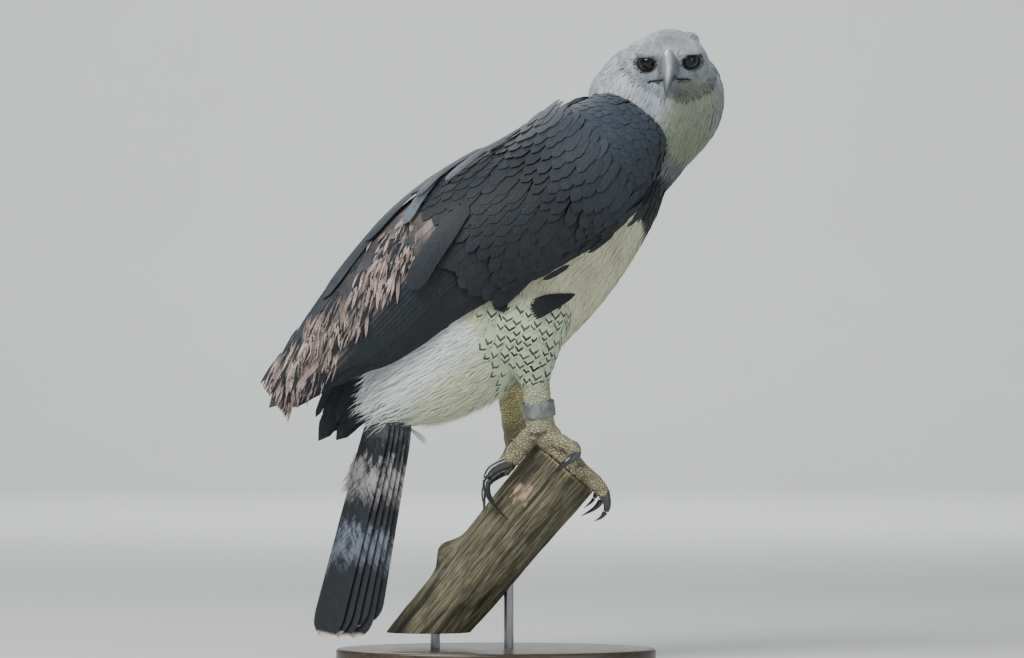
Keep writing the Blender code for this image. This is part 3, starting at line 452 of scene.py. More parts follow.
# The dark skin round an eye, painted black up to a level top under the brow, so that it holds the brow's
# painted shadow too: its middle and height on the head, its half width and height, and its top.
EYE_SKIN = (0.0272, 0.0024, 0.0136, 0.0104, 0.0106)
MOUTH = (0.0080, 0.0270, -0.0178)  # its start and end beside the bill, and its height
# The corner of the raised crown feathers: its middle and radii.
CROWN_CORNER = ((-0.004, 0.0268, 0.0272), (0.018, 0.0115, 0.0085))


# Forms of the head.
def head_surface(turn, latitude):
    x = math.cos(latitude) * math.cos(turn)
    y = math.cos(latitude) * math.sin(turn)
    z = math.sin(latitude)
    front = HEAD_FRONT if x > 0 else HEAD_BACK
    rise = HEAD_CROWN if z > 0 else HEAD_THROAT
    point = Vector((x * front, y * HEAD_HALF_WIDTH * (1.0 - 0.10 * z), z * rise))
    for side in (-1.0, 1.0):
        brow = Vector((0.034, side * 0.031, 0.020))
        away = (point - brow).length
        point += Vector((0.8, side * 0.5, 0.1)) * BROW_RIDGE * math.exp(-((away / 0.013) ** 2))
    return point


def head_form(grow):
    rings = 40

    def place(row, turn):
        return head_surface(turn, math.pi * (0.5 - row / rings))

    return swollen(drawn_form(56, rings, place), grow)


def bill_form(stations, sides, rings):
    def place(row, turn):
        share = min(max((row - 1) / (rings - 2), 0.0), 1.0)
        x, z, half_height, half_width = smooth(stations, share)
        ahead = Vector(smooth(stations, min(share + 0.03, 1.0))[:2])
        behind = Vector(smooth(stations, max(share - 0.03, 0.0))[:2])
        along = (ahead - behind).normalized()
        centre = Vector((x, 0.0, z))
        if row in (0, rings):
            return centre
        rise = Vector((-along.y, 0.0, along.x))
        ridge = 1.0 - 0.30 * max(math.sin(turn), 0.0)
        return (
            centre
            + rise * half_height * math.sin(turn)
            + ACROSS * half_width * math.cos(turn) * ridge
        )

    return drawn_form(sides, rings, place)


def eye_axis(side):
    """The way an eye looks, in the head's frame."""
    return Vector((0.86, side * 0.51, 0.0)).normalized()


def eye_centre(side):
    return Vector((EYE_PLACE.x, side * EYE_PLACE.y, EYE_PLACE.z))


# Forms of the wing, tail, legs and branch.
def wing_point(along, across, lift, name):
    """A point of the folded wing's sheet, raised by lift, in the bird's frame."""
    top, bottom, width = smooth(WING, along)
    widest = bottom + WING_WIDEST * (top - bottom)
    flat = min(max((along - WING_FLAT_FROM) / WING_FLAT_OVER, 0.0), 1.0)
    start = WING_TOP_TURN + (WING_TIP_TURN - WING_TOP_TURN) * flat
    turn = start + across * (math.pi / 2 + WING_LOW_TURN - start)
    turn = max(turn, WING_MIDLINE_TURN)
    if turn <= math.pi / 2:
        rise = widest + (top - widest) * math.cos(turn) / math.cos(start)
        out = width * math.sin(turn) ** 0.85
    else:
        rise = widest - (widest - bottom) * math.sin(turn - math.pi / 2) / math.sin(WING_LOW_TURN)
        out = width * math.cos(turn - math.pi / 2)
    rise += lift * math.cos(turn) - WING_DROOP[name] * max(along, 0.0)
    out += lift * math.sin(turn)
    return (
        WING_SHOULDER + WING_AXIS * along * WING_REACH[name] + WING_RISE * rise
        + Vector((0.0, SIDES[name] * out, 0.0))
    )


def wing_scale(along, across, name):
    """Metres of the sheet for one unit of across."""
    a = wing_point(along, across - 0.02, 0.0, name)
    b = wing_point(along, across + 0.02, 0.0, name)
    return max((b - a).length / 0.04, 0.03)


def wing_normal(along, across, name):
    low = wing_point(along, across, 0.0, name)
    high = wing_point(along, across, 0.01, name)
    return (high - low).normalized()


def core_outside(along, across):
    """How high the flesh and small feathers of the wing stand over its sheet."""
    return smooth(WING_CORE, along)[0] - WING_CORE_FALL * across


def wing_core_form(name, shrink):
    rings = 40

    def place(row, turn):
        share = 0.5 - 0.5 * math.cos(math.pi * row / rings)
        belt = math.sin(math.pi * row / rings) ** 0.45 if 0 < row < rings else 0.0
        first, last = WING_CORE[0][0], WING_CORE[-1][0]
        along = first + (last - first) * share
        across = 0.49 + 0.47 * math.cos(turn) * belt
        outer, inner = smooth(WING_CORE, along)
        outer -= WING_CORE_FALL * across + shrink
        middle, thick = (outer + inner) / 2, (outer - inner) / 2
        full = math.copysign(abs(math.sin(turn)) ** 0.6, math.sin(turn))
        return wing_point(along, across, middle + thick * full * belt, name)

    return drawn_form(40, rings, place)


def tail_frame():
    along = (TAIL_TIP - TAIL_ROOT).normalized()
    dorsal = along.cross(ACROSS).normalized()
    if dorsal.x > 0:
        dorsal = -dorsal
    turn = Matrix.Rotation(TAIL_TWIST, 3, along)
    return along, turn @ ACROSS, turn @ dorsal


TAIL_LENGTH = (TAIL_TIP - TAIL_ROOT).length
TAIL_ALONG, TAIL_SIDE, TAIL_DORSAL = tail_frame()


def tail_point(distance, arc, lift):
    """A point of the tail's arched sheet: distance from the root, arc across it, lift over it."""
    radius = between(TAIL_ARCH, min(max(distance / TAIL_LENGTH, 0.0), 1.0))
    turn = arc / radius
    return (
        TAIL_ROOT + TAIL_ALONG * distance
        + TAIL_SIDE * (radius + lift) * math.sin(turn)
        + TAIL_DORSAL * ((radius + lift) * math.cos(turn) - radius)
    )


def branch_point(p):
    return FACE_CENTRE + U * p[0] + V * p[1] + W * p[2]


def thigh_form(name, grow):
    return rounded_form(LEGS[name]["thigh"], 32, 24, 0.45, grow)


def shin_form(name):
    leg = LEGS[name]
    top, ankle = leg["shin_top"], leg["ankle"]

    def radius(share, turn):
        return SHIN_RADIUS + (ANKLE_RADIUS - SHIN_RADIUS) * share**2

    return tube_form((top, top.lerp(ankle, 0.5), ankle), radius, 32, 24)


def toe_form(toe):
    first, last = toe["radius"]

    def radius(share, turn):
        knuckle = 0.05 * math.cos(share * 5 * math.pi)
        pad = 0.06 * math.cos(share * 5 * math.pi) * max(-math.sin(turn), 0.0)
        return (first + (last - first) * share) * (1.0 + knuckle + pad)

    return tube_form(toe["path"], radius, 20, 40, frame_of=branch_point)


# Node materials.
class Finish:
    """One procedural finish, built node by node."""

    def __init__(self, name, **values):
        self.material = bpy.data.materials.new(name)
        self.material.use_nodes = True
        self.tree = self.material.node_tree
        self.shader = self.tree.nodes["Principled BSDF"]
        for key, value in values.items():
            self.shader.inputs[key.replace("_", " ").title().replace("Ior", "IOR")].default_value = value

    def node(self, kind, inputs, **settings):
        made = self.tree.nodes.new("ShaderNode" + kind)
        for key, value in settings.items():
            setattr(made, key, value)
        for key, value in inputs.items():
            if isinstance(value, bpy.types.NodeSocket):
                self.tree.links.new(value, made.inputs[key])
            else:
                made.inputs[key].default_value = value
        return made

    def object_place(self):
        return self.node("TexCoord", {}).outputs["Object"]

    def attribute(self, name):
        return self.node("Attribute", {}, attribute_name=name)

    def parts(self, vector):
        return self.node("SeparateXYZ", {"Vector": vector}).outputs

    def vector(self, x, y, z):
        return self.node("CombineXYZ", {"X": x, "Y": y, "Z": z}).outputs[0]

    def math(self, operation, a, b=0.0):
        return self.node("Math", {0: a, 1: b}, operation=operation).outputs[0]

    def plus(self, a, b):
        return self.math("ADD", a, b)

    def minus(self, a, b):
        return self.math("SUBTRACT", a, b)

    def times(self, a, b):
        return self.math("MULTIPLY", a, b)

    def size(self, a):
        return self.math("ABSOLUTE", a)

    def measure(self, operation, a, b):
        return self.node("VectorMath", {0: a, 1: tuple(b)}, operation=operation).outputs["Value"]

    def noise(self, vector, scale, detail=3.0, roughness=0.55, distortion=0.0):
        return self.node(
            "TexNoise",
            {"Vector": vector, "Scale": scale, "Detail": detail, "Roughness": roughness,
             "Distortion": distortion},
        ).outputs["Fac"]

    def stretched(self, vector, scale, turn=(0.0, 0.0, 0.0)):
        return self.node("Mapping", {"Vector": vector, "Scale": scale, "Rotation": turn}).outputs[0]

    def cells(self, vector, scale, feature="F1"):
        made = self.node("TexVoronoi", {"Vector": vector, "Scale": scale}, feature=feature)
        return made.outputs["Distance"]

    def fit(self, value, low, high, to_low=0.0, to_high=1.0):
        inputs = {"Value": value, "From Min": low, "From Max": high, "To Min": to_low, "To Max": to_high}
        return self.node("MapRange", inputs, interpolation_type="SMOOTHSTEP").outputs[0]

    def mix(self, factor, a, b, blend="MIX"):
        made = self.node("Mix", {0: factor}, data_type="RGBA", blend_type=blend, clamp_factor=True)
        for index, value in ((6, a), (7, b)):
            if isinstance(value, bpy.types.NodeSocket):
                self.tree.links.new(value, made.inputs[index])
            else:
                made.inputs[index].default_value = (*value, 1.0)
        return made.outputs[2]

    def grey(self, level):
        return self.vector(level, level, level)

    def bump(self, height, strength, distance):
        inputs = {"Height": height, "Strength": strength, "Distance": distance}
        return self.node("Bump", inputs).outputs[0]

    def finish(self, colour=None, roughness=None, normal=None):
        for key, value in (("Base Color", colour), ("Roughness", roughness), ("Normal", normal)):
            if value is not None:
                self.tree.links.new(value, self.shader.inputs[key])
        return self.material


def feather_finish(name, streak, barb=1.1, sheen=0.25, rough=0.62, bars=None, edge=(0.0, (1.0, 1.0, 1.0))):
    """Vanes: the colour of each comes from its points, with barbs, a shaft, bars and a paler rim."""
    f = Finish(name, roughness=rough, sheen_weight=sheen, sheen_roughness=0.45, specular_ior_level=0.35)
    colour = f.attribute("Col").outputs["Color"]
    along, side, chance = f.parts(f.attribute("vane").outputs["Vector"])
    share, edge_place, mark = f.parts(f.attribute("unit").outputs["Vector"])
    out = f.size(side)
    edge_out = f.size(edge_place)
    # Barbs run out from the shaft and towards the tip.
    slant = f.minus(along, f.times(out, barb))
    barbs = f.noise(f.vector(f.times(slant, 700.0), f.times(out, 60.0),
                             f.times(chance, 40.0)), 1.0, 4.0, 0.6)
    broad = f.noise(f.vector(f.times(slant, 170.0), f.times(out, 50.0),
                             f.times(chance, 40.0)), 1.0, 2.0, 0.5)
    strength = f.fit(barbs, 0.25, 0.75, 1.0 - streak, 1.0 + streak)
    strength = f.times(strength, f.fit(broad, 0.3, 0.7, 1.0 - 0.5 * streak, 1.0 + 0.5 * streak))
    colour = f.mix(1.0, colour, f.grey(strength), "MULTIPLY")
    if bars:
        colour = bars(f, colour, along, chance, share, edge_out, mark, barbs)
    amount, rim = edge
    if amount:
        near = f.math("MAXIMUM", f.fit(edge_out, 0.78, 1.0), f.fit(share, 0.90, 1.0))
        near = f.times(near, f.fit(barbs, 0.35, 0.6))
        colour = f.mix(f.times(near, amount), colour, rim)
    shaft = f.fit(out, 0.0004, 0.0011, 1.0, 0.0)
    height = f.plus(f.times(barbs, 0.6), f.times(shaft, 0.8))
    return f.finish(colour, normal=f.bump(height, 0.55, 0.0004))


def thigh_bars(f, colour, along, chance, share, edge_out, mark, barbs):
    """A dark chevron near each feather's tip, its point towards the tip."""
    place = f.plus(share, f.times(edge_out, 0.30))
    wobble = f.fit(barbs, 0.2, 0.8, -0.035, 0.035)
    away = f.size(f.minus(f.plus(place, wobble), 0.86))
    bar = f.times(f.fit(away, 0.060, 0.100, 1.0, 0.0), mark)
    bar = f.times(bar, f.fit(f.plus(edge_out, f.times(chance, 0.25)), 0.78, 0.92, 1.0, 0.0))
    return f.mix(bar, colour, (0.016, 0.022, 0.018))


def tail_bars(f, colour, along, chance, share, edge_out, mark, barbs):
    """Three mottled pale bands across the dark tail, and a white fray at its end."""
    mottle = f.noise(f.stretched(f.object_place(), (1.0, 1.0, 0.45)), 120.0, 4.0, 0.65)
    shift = f.fit(mottle, 0.25, 0.75, -0.016, 0.016)
    place = f.plus(along, f.plus(shift, f.times(f.minus(mark, 0.5), 0.030)))
    for middle, half, strength, tone in (
        (0.098, 0.036, 0.62, (0.17, 0.20, 0.23)),
        (0.178, 0.030, 0.90, (0.38, 0.36, 0.37)),
        (0.262, 0.028, 0.78, (0.20, 0.235, 0.29)),
    ):
        away = f.size(f.minus(place, middle))
        band = f.fit(away, half * 0.35, half * 1.15, 1.0, 0.0)
        streaks = f.fit(f.plus(f.times(mottle, 0.5), f.times(barbs, 0.5)), 0.36, 0.60)
        amount = f.times(f.times(band, streaks), strength)
        colour = f.mix(amount, colour, tone)
    tip = f.times(f.fit(share, 0.974, 0.990), f.fit(barbs, 0.25, 0.50))
    return f.mix(tip, colour, (0.66, 0.62, 0.50))


# Small feathers and tufts.
def blade_pattern(around, rows):
    """A thin closed leaf: its points as (share along, side, height) and its triangles."""
    bm = bmesh.new()
    bmesh.ops.create_uvsphere(bm, u_segments=around, v_segments=rows, radius=1.0)
    bmesh.ops.triangulate(bm, faces=bm.faces[:])
    bm.verts.ensure_lookup_table()
    offset = math.pi / 2 if around == 3 else 0.0
    reach = math.cos(math.pi / 6) if around == 3 else 1.0
    places = []
    for vert in bm.verts:
        row = round((0.5 - math.asin(min(max(vert.co.z, -1.0), 1.0)) / math.pi) * rows)
        turn = math.atan2(vert.co.y, vert.co.x) + offset
        flat = 0.0 if row in (0, rows) else 1.0
        places.append((row / rows, flat * math.cos(turn) / reach, flat * math.sin(turn)))
    faces = [[vert.index for vert in face.verts] for face in bm.faces]
    bm.free()
    return np.array(places), np.array(faces)


def leaf_outline(narrow, tip_from, tip_end):
    """Half width along a feather, of 1 at its widest."""
    def outline(shares):
        base = np.minimum(1.0, narrow + (1.0 - narrow) * shares / 0.35)
        tip = np.clip((shares - tip_from) / (1.0 - tip_from), 0.0, 1.0)
        return base * np.sqrt(np.maximum(1.0 - (1.0 - tip_end**2) * tip * tip, 0.0))
    return outline


def rows_weights(shares, count):
    """How much each point of a path counts at each share of it."""
    place = np.clip(shares, 0.0, 1.0) * (count - 1)
    low = np.minimum(place.astype(int), count - 2)
    part = place - low
    table = np.zeros((len(shares), count))
    table[np.arange(len(shares)), low] = 1.0 - part
    table[np.arange(len(shares)), low + 1] += part
    return table


RAY = Vector((0.31, -0.83, 0.46)).normalized()
RAY_STEP = 1e-5
MOST_HITS = 40
CELL = 0.008
RIM_ANGLE = math.radians(60)


def unit(vectors):
    return vectors / np.maximum(np.linalg.norm(vectors, axis=-1, keepdims=True), 1e-12)


def mixed(a, b, amount):
    return a + (b - a) * amount


class Coat:
    """Feathers collected one by one and then built as one mesh."""

    def __init__(self, steps):
        self.steps = steps
        self.paths, self.ups, self.tones, self.facts = [], [], [], []

    def add(self, path, ups, half_width, lifts, colours, bake, mark=0.0, camber=0.25, thick=0.00025):
        self.paths.append([tuple(p) for p in path])
        self.ups.append([tuple(n) for n in ups])
        chance = SEED.random()
        if len(colours) == 2:
            colours = [mixed(colours[0], colours[1], (k / self.steps) ** 1.3) for k in range(self.steps + 1)]
        self.tones.append([tuple(c) for c in colours])
        self.facts.append((half_width, *lifts, *bake, mark, camber, thick, chance))

    def build(self, name, pattern, outline, finish, patch=(0.003, 0.003), crowd=1.0):
        """The mesh: pattern is repeated along every path. crowd moves its rows towards the tip."""
        places, faces = pattern
        shares, sides, heights = places[:, 0] ** (1.0 / crowd), places[:, 1], places[:, 2]
        paths, ups = np.array(self.paths), np.array(self.ups)
        facts = np.array(self.facts)
        width, lift_root, lift_tip = facts[:, 0:1], facts[:, 1:2], facts[:, 2:3]
        camber, thick, chance = facts[:, 6:7], facts[:, 7:8], facts[:, 8:9]
        table = rows_weights(shares, paths.shape[1])
        centre = np.einsum("vk,nkc->nvc", table, paths)
        up = unit(np.einsum("vk,nkc->nvc", table, ups))
        along = unit(np.einsum("vk,nkc->nvc", table, np.gradient(paths, axis=1)))
        across = unit(np.cross(along, up))
        up = unit(np.cross(across, along))
        half = width * outline(shares)[None, :]
        rise = lift_root + (lift_tip - lift_root) * shares[None, :]
        rise = rise + heights[None, :] * thick - camber * half * (sides**2)[None, :]
        points = centre + across * (half * sides[None, :])[..., None] + up * rise[..., None]
        count, size = len(paths), len(shares)
        mesh = bpy.data.meshes.new(name)
        mesh.vertices.add(count * size)
        mesh.vertices.foreach_set("co", points.reshape(-1).astype(np.float32))
        corners = (faces[None] + (np.arange(count) * size)[:, None, None]).reshape(-1)
        triangles = count * len(faces)
        mesh.loops.add(triangles * 3)
        mesh.loops.foreach_set("vertex_index", corners.astype(np.int32))
        mesh.polygons.add(triangles)
        mesh.polygons.foreach_set("loop_start", np.arange(0, triangles * 3, 3, dtype=np.int32))
        mesh.update(calc_edges=True)
        mesh.validate()
        length = np.linalg.norm(np.diff(paths, axis=1), axis=2).sum(1)[:, None]
        colour = np.einsum("vk,nkc->nvc", table, np.array(self.tones))
        self.attribute(mesh, "Col", "FLOAT_COLOR", np.concatenate([colour, np.ones((count, size, 1))], 2))
        vane = np.stack([length * shares[None], half * sides[None], chance + 0 * half], axis=2)
        self.attribute(mesh, "vane", "FLOAT_VECTOR", vane)
        mark = facts[:, 5:6] + 0 * half
        self.attribute(mesh, "unit", "FLOAT_VECTOR",
                       np.stack([shares[None] + 0 * half, sides[None] + 0 * half, mark], axis=2))
        bake = mesh.uv_layers.new(name="OFBake")
        place = np.stack([facts[:, 3:4] + patch[0] * (shares[None] - 0.5),
                          facts[:, 4:5] + patch[1] * 0.5 * sides[None]], axis=2)
        bake.data.foreach_set("uv", place.reshape(-1, 2)[corners].reshape(-1).astype(np.float32))
        mesh.materials.append(finish)
        mesh.shade_smooth()
        mesh.set_sharp_from_angle(angle=RIM_ANGLE)
        return placed(name, mesh)

    @staticmethod
    def attribute(mesh, name, kind, values):
        layer = mesh.attributes.new(name, kind, "POINT")
        key = "color" if kind == "FLOAT_COLOR" else "vector"
        layer.data.foreach_set(key, values.reshape(-1).astype(np.float32))


class Surface:
    """A mesh to lay feathers on."""

    def __init__(self, mesh):
        mesh.calc_loop_triangles()
        corners = np.empty(len(mesh.loop_triangles) * 3, dtype=np.int32)
        mesh.loop_triangles.foreach_get("vertices", corners)
        points = np.empty(len(mesh.vertices) * 3)
        mesh.vertices.foreach_get("co", points)
        self.triangles = points.reshape(-1, 3)[corners.reshape(-1, 3)]
        self.tags = None
        self.tree = BVHTree.FromPolygons(
            [v.co for v in mesh.vertices], [tuple(p.vertices) for p in mesh.polygons]
        )
        normals = [v.normal for v in mesh.vertices]
        self.normals = [
            sum((normals[i] for i in p.vertices), Vector()).normalized() for p in mesh.polygons
        ]

    def nearest(self, point):
        place, _, index, _ = self.tree.find_nearest(point)
        return place, self.normals[index]

    def inside(self, point):
        """A ray from inside leaves the surface an odd number of times."""
        hits, origin = 0, point
        place = self.tree.ray_cast(origin, RAY)[0]
        while place is not None and hits < MOST_HITS:
            hits += 1
            place = self.tree.ray_cast(place + RAY * RAY_STEP, RAY)[0]
        return hits % 2 == 1

    def near(self, point, reach):
        return self.tree.find_nearest(point, reach)[0] is not None

    def lie(self, root, flow, length, steps):
        """The path of a feather that lies along the surface the way that flow points."""
        here, up = self.nearest(root)
        path, ups = [here], [up]
        for _ in range(steps):
            way = flow(here)
            way = (way - up * way.dot(up)).normalized()
            here, up = self.nearest(here + way * (length / steps))
            path.append(here)
            ups.append(up)
        return path, ups

    def tag(self, name_of):
        """Every triangle gets the name of the region it lies in."""
        self.tags = np.array([name_of(Vector(place)) for place in self.triangles.mean(1)])

    def scatter(self, spacing, wanted, names, least):
        """Evenly spread places in the regions named. spacing(point) is their least distance."""
        triangles = self.triangles[np.isin(self.tags, names)]
        edges = triangles[:, 1:] - triangles[:, :1]
        areas = np.linalg.norm(np.cross(edges[:, 0], edges[:, 1]), axis=1)
        tries = int(4.0 * areas.sum() / 2.0 / least**2)
        chosen = SEED.choice(len(triangles), size=tries, p=areas / areas.sum())
        a, b = SEED.random((2, tries, 1))
        flip = a + b > 1.0
        a, b = np.where(flip, 1.0 - a, a), np.where(flip, 1.0 - b, b)
        places = triangles[chosen, 0] + a * edges[chosen, 0] + b * edges[chosen, 1]
        kept, cells = [], {}
        for place in places:
            point = Vector(place)
            if not wanted(point):
                continue
            gap = spacing(point)
            key = tuple(int(math.floor(c / CELL)) for c in point)
            near = (
                other
                for i in (-1, 0, 1) for j in (-1, 0, 1) for k in (-1, 0, 1)
                for other in cells.get((key[0] + i, key[1] + j, key[2] + k), ())
            )
            if all((other - point).length_squared > gap * gap for other in near):
                cells.setdefault(key, []).append(point)
                kept.append(point)
        return kept


# Markings, with painted shade and painted green reflected light, shared by the skin and the coat.
HEAD_LIMIT = 1.14
THIGH_LIMIT = 1.08
THIGH_TOP = 0.466
BACK_HEIGHT = 0.048
VENT_SHARE = 0.30
TORSO_LOW = Vector((-0.166, 0.0, 0.330))
TORSO_WAY = Vector((0.699, 0.0, 0.715))
TORSO_LENGTH = 0.478
TORSO_RISE = Vector((-0.715, 0.0, 0.699))
NECK_PLANE = Vector((0.150, 0.0, 0.628))
NECK_WAY = Vector((0.30, 0.0, 0.954))
BILL_ROOT = Vector((0.058, 0.0, 0.000))


def patches(point, scale, seed=0.0):
    """Smooth chance between 0 and 1 over space."""
    return 0.5 + 0.5 * noise.noise(point * scale + Vector((seed, seed, seed)))


def torso_share(b):
    return (b - TORSO_LOW).dot(TORSO_WAY) / TORSO_LENGTH


def head_reach(h):
    x = h.x / (HEAD_FRONT if h.x > 0 else HEAD_BACK)
    z = h.z / (HEAD_CROWN if h.z > 0 else HEAD_THROAT)
    return math.sqrt(x * x + (h.y / HEAD_HALF_WIDTH) ** 2 + z * z)


def thigh_reach(b, name):
    """How far a place is from the thigh's axis, of 1 at the thigh's surface."""
    stations = LEGS[name]["thigh"]
    share = min(max((stations[0][3] - b.z) / (stations[0][3] - stations[-1][3]), 0.0), 1.0)
    x, y, _, back, front, side = smooth(stations, share)
    return math.sqrt(((b.x - x) / front) ** 2 + ((b.y - y) / side) ** 2)


def eye_skin_reach(h, side):
    """How far a place is from the middle of the dark skin round an eye, of 1 at its rim."""
    middle, level, half_width, half_height, _ = EYE_SKIN
    return math.hypot((h.y - side * middle) / half_width, (h.z - level) / half_height)


def head_colour(h):
    colour = mixed(ASH, ASH_PALE, ease(patches(h, 45.0), 0.35, 0.7))
    streaks = patches(Vector((h.x * 0.4, h.y, h.z * 0.5)), 170.0, 3.0)
    colour = mixed(colour, ASH_DARK, 0.42 * ease(streaks, 0.50, 0.75))
    crown = ease(h.z, 0.016, 0.034) * (1.0 - ease(abs(h.y - 0.004), 0.004, 0.024)) * ease(h.x, -0.010, 0.020)
    colour = mixed(colour, ASH_DARK, 0.45 * crown)
    # Painted shade with painted green reflected light low on the face, on the side away from the key light.
    jaw_shade = ease(-h.z, 0.010, 0.028) * ease(h.y, -0.014, 0.010) * ease(h.x, -0.020, 0.020)
    colour = mixed(colour, THROAT_IN_GREEN_SHADE, 0.80 * jaw_shade)
    shade = (1.0 - ease(abs(h.y - 0.002), 0.004, 0.016)) * ease(-h.z, 0.018, 0.030)
    colour = mixed(colour, ASH_DARK, 0.55 * shade)
    cere = math.hypot(h.y / 0.0150, (h.z + 0.002) / 0.0170)
    colour = mixed(colour, ASH_DARK * 0.7, 0.65 * (1.0 - ease(cere, 0.70, 1.10)) * ease(h.x, 0.030, 0.040))
    for side in (-1.0, 1.0):
        cheek = Vector((0.020, side * 0.046, -0.022))
        streak = ease(patches(Vector((h.x, h.y * 2.4, h.z * 2.6)), 42.0, 7.0), 0.46, 0.62)
        near = 1.0 - ease((h - cheek).length, 0.010, 0.036)
        colour = mixed(colour, ASH_DARK, (0.45 - 0.15 * side) * streak * near)
        if h.x > 0.015:
            # Dark bare skin round each eye, painted black up to a level top under the brow, which paints in
            # the brow's shadow too.
            dark = 1.0 - ease(eye_skin_reach(h, side), 0.92, 1.16)
            colour = mixed(colour, BLACK, dark * (1.0 - ease(h.z, EYE_SKIN[4], EYE_SKIN[4] + 0.0025)))
            if abs(h.z - mouth_height(h.y)) < 0.0020 and MOUTH[0] - 0.003 < abs(h.y) < MOUTH[1]:
                colour = BLACK
    return colour


def body_colour(point):
    """The colour of skin and coat at a place of the body."""
    h = HEAD_BACK_TURN @ point
    b = BIRD_BACK @ point
    reach = head_reach(h)
    share = torso_share(b)
    rise = (b - TORSO_LOW).dot(TORSO_RISE)
    side = abs(b.y)
    belly = mixed(BELLY, DOWN, 1.0 - ease(share, 0.10, 0.34))
    belly = mixed(belly, belly * 0.82, ease(patches(point, 30.0), 0.4, 0.8))
    band = ease(share + 0.03 * (patches(point, 60.0) - 0.5), 0.785 + 0.55 * side, 0.815 + 0.55 * side)
    colour = mixed(belly, BLACK, band)
    back = ease(rise, 0.040, 0.062)
    colour = mixed(colour, mixed(SLATE, SLATE_PALE, patches(point, 25.0) * 0.5), back)
    for name in SIDES:
        if b.y * SIDES[name] > 0 and b.z < 0.480:
            near = 1.0 - ease(thigh_reach(b, name), 1.02, 1.22)
            colour = mixed(colour, THIGH, near * (1.0 - ease(b.z, 0.455, 0.480)))
    above = (b - NECK_PLANE).dot(NECK_WAY)
    collar = mixed(COLLAR_BROWN, ASH_DARK, patches(point, 70.0, 5.0))
    # The front of the neck under the head in painted shade with painted green reflected light, fading to ash
    # behind.
    throat_shade = mixed(THROAT_IN_GREEN_SHADE, ASH, ease(-h.x, -0.030, 0.020))
    neck = mixed(collar, throat_shade, ease(above, 0.016, 0.040))
    neck = mixed(neck, ASH, ease(above, 0.040, 0.085))
    # More painted green reflected light in the shade of the neck, on the side away from the key light.
    green = ease(h.y, -0.016, 0.006) * ease(h.x, -0.030, 0.010) * ease(above, 0.020, 0.040)
    neck = mixed(neck, THROAT_IN_GREEN_SHADE, 0.85 * green)
    shade = (1.0 - ease(abs(h.y + 0.014), 0.006, 0.022)) * ease(-h.z, 0.052, 0.080)
    neck = mixed(neck, ASH_DARK, 0.60 * shade)
    streaks = patches(Vector((b.x, b.y, b.z * 0.35)), 90.0, 9.0)
    neck = mixed(neck, ASH_DARK, 0.45 * ease(streaks, 0.52, 0.75))
    colour = mixed(colour, neck, ease(above, -0.006, 0.010))
    away = ease(reach, 1.05, 1.25) * max(ease(-h.z, 0.020, 0.040), ease(-h.x, -0.020, 0.005))
    return mixed(head_colour(h), colour, away)


def thigh_here(b):
    """The side whose thigh a place belongs to, if any."""
    for name, side in SIDES.items():
        if b.y * side > 0 and b.z < THIGH_TOP and thigh_reach(b, name) < THIGH_LIMIT:
            return name
    return None


def region(point):
    if head_reach(HEAD_BACK_TURN @ point) < HEAD_LIMIT:
        return "head"
    b = BIRD_BACK @ point
    if thigh_here(b):
        return "thigh_" + thigh_here(b)
    if (b - NECK_PLANE).dot(NECK_WAY) > 0:
        return "neck"
    if (b - TORSO_LOW).dot(TORSO_RISE) > BACK_HEIGHT:
        return "back"
    if torso_share(b) < VENT_SHARE:
        return "vent"
    return "belly"


def turned(matrix, way):
    return (matrix.to_3x3() @ way).normalized()


def flow(point):
    """The way the feathers lie at a place of the body."""
    h = HEAD_BACK_TURN @ point
    b = BIRD_BACK @ point
    out = (h - BILL_ROOT).normalized() + Vector((-0.45, 0.0, -0.30 if h.z < 0 else 0.0))
    head_way = turned(HEAD, out)
    above = (b - NECK_PLANE).dot(NECK_WAY)
    neck_way = turned(BIRD, Vector((-0.35, 0.15 * b.y / 0.06, -0.95)))
    body_way = turned(BIRD, Vector((-0.75, 0.0, -0.66)))
    way = mixed(body_way, neck_way, ease(above, -0.04, 0.03))
    for name in SIDES:
        if b.y * SIDES[name] > 0:
            near = 1.0 - ease(thigh_reach(b, name), 0.95, 1.30)
            near *= 1.0 - ease(b.z, 0.44, 0.50)
            way = mixed(way, turned(BIRD, Vector((-0.16, 0.0, -1.0))), near)
    return mixed(head_way, way, ease(head_reach(h), 1.00, 1.35))


def bake_place(point):
    """The root's place on an unwrap of the body: round its spine, and along it up to the face."""
    h = HEAD_BACK_TURN @ point
    if head_reach(h) < HEAD_LIMIT:
        turn = math.atan2(h.y, h.z)
        return 0.5 + 0.48 * turn / math.pi, 0.78 + 0.20 * (h.x / 0.13 + 0.5)
    b = BIRD_BACK @ point
    name = thigh_here(b)
    if name:
        turn = math.atan2(b.y - 0.05 * SIDES[name], b.x)
        middle = 0.25 if name == "right" else 0.75
        return middle + 0.23 * turn / math.pi, 0.02 + 0.20 * (b.z - 0.32) / 0.15
    share = torso_share(b)
    rise = (b - TORSO_LOW).dot(TORSO_RISE)
    return 0.5 + 0.48 * math.atan2(b.y, -rise) / math.pi, 0.24 + 0.50 * min(max(share, 0.0), 1.25) / 1.25


def join_pieces(name, objects):
    """One object from several, with their meshes as they are."""
    whole = bmesh.new()
    for obj in objects:
        whole.from_mesh(obj.data)
        old = obj.data
        bpy.data.objects.remove(obj, do_unlink=True)
        bpy.data.meshes.remove(old)
    mesh = bpy.data.meshes.new(name)
    whole.to_mesh(mesh)
    whole.free()
    mesh.shade_smooth()
    return placed(name, mesh)


# The skin.
def remeshed(name, forms, voxel, rounds):
    """Closed forms that run into each other, as one surface."""
    made = piece_from(name, forms, None)
    with_modifier(made, "REMESH", mode="VOXEL", voxel_size=voxel, use_smooth_shade=True)
    with_modifier(made, "SMOOTH", factor=0.5, iterations=rounds)
    return made


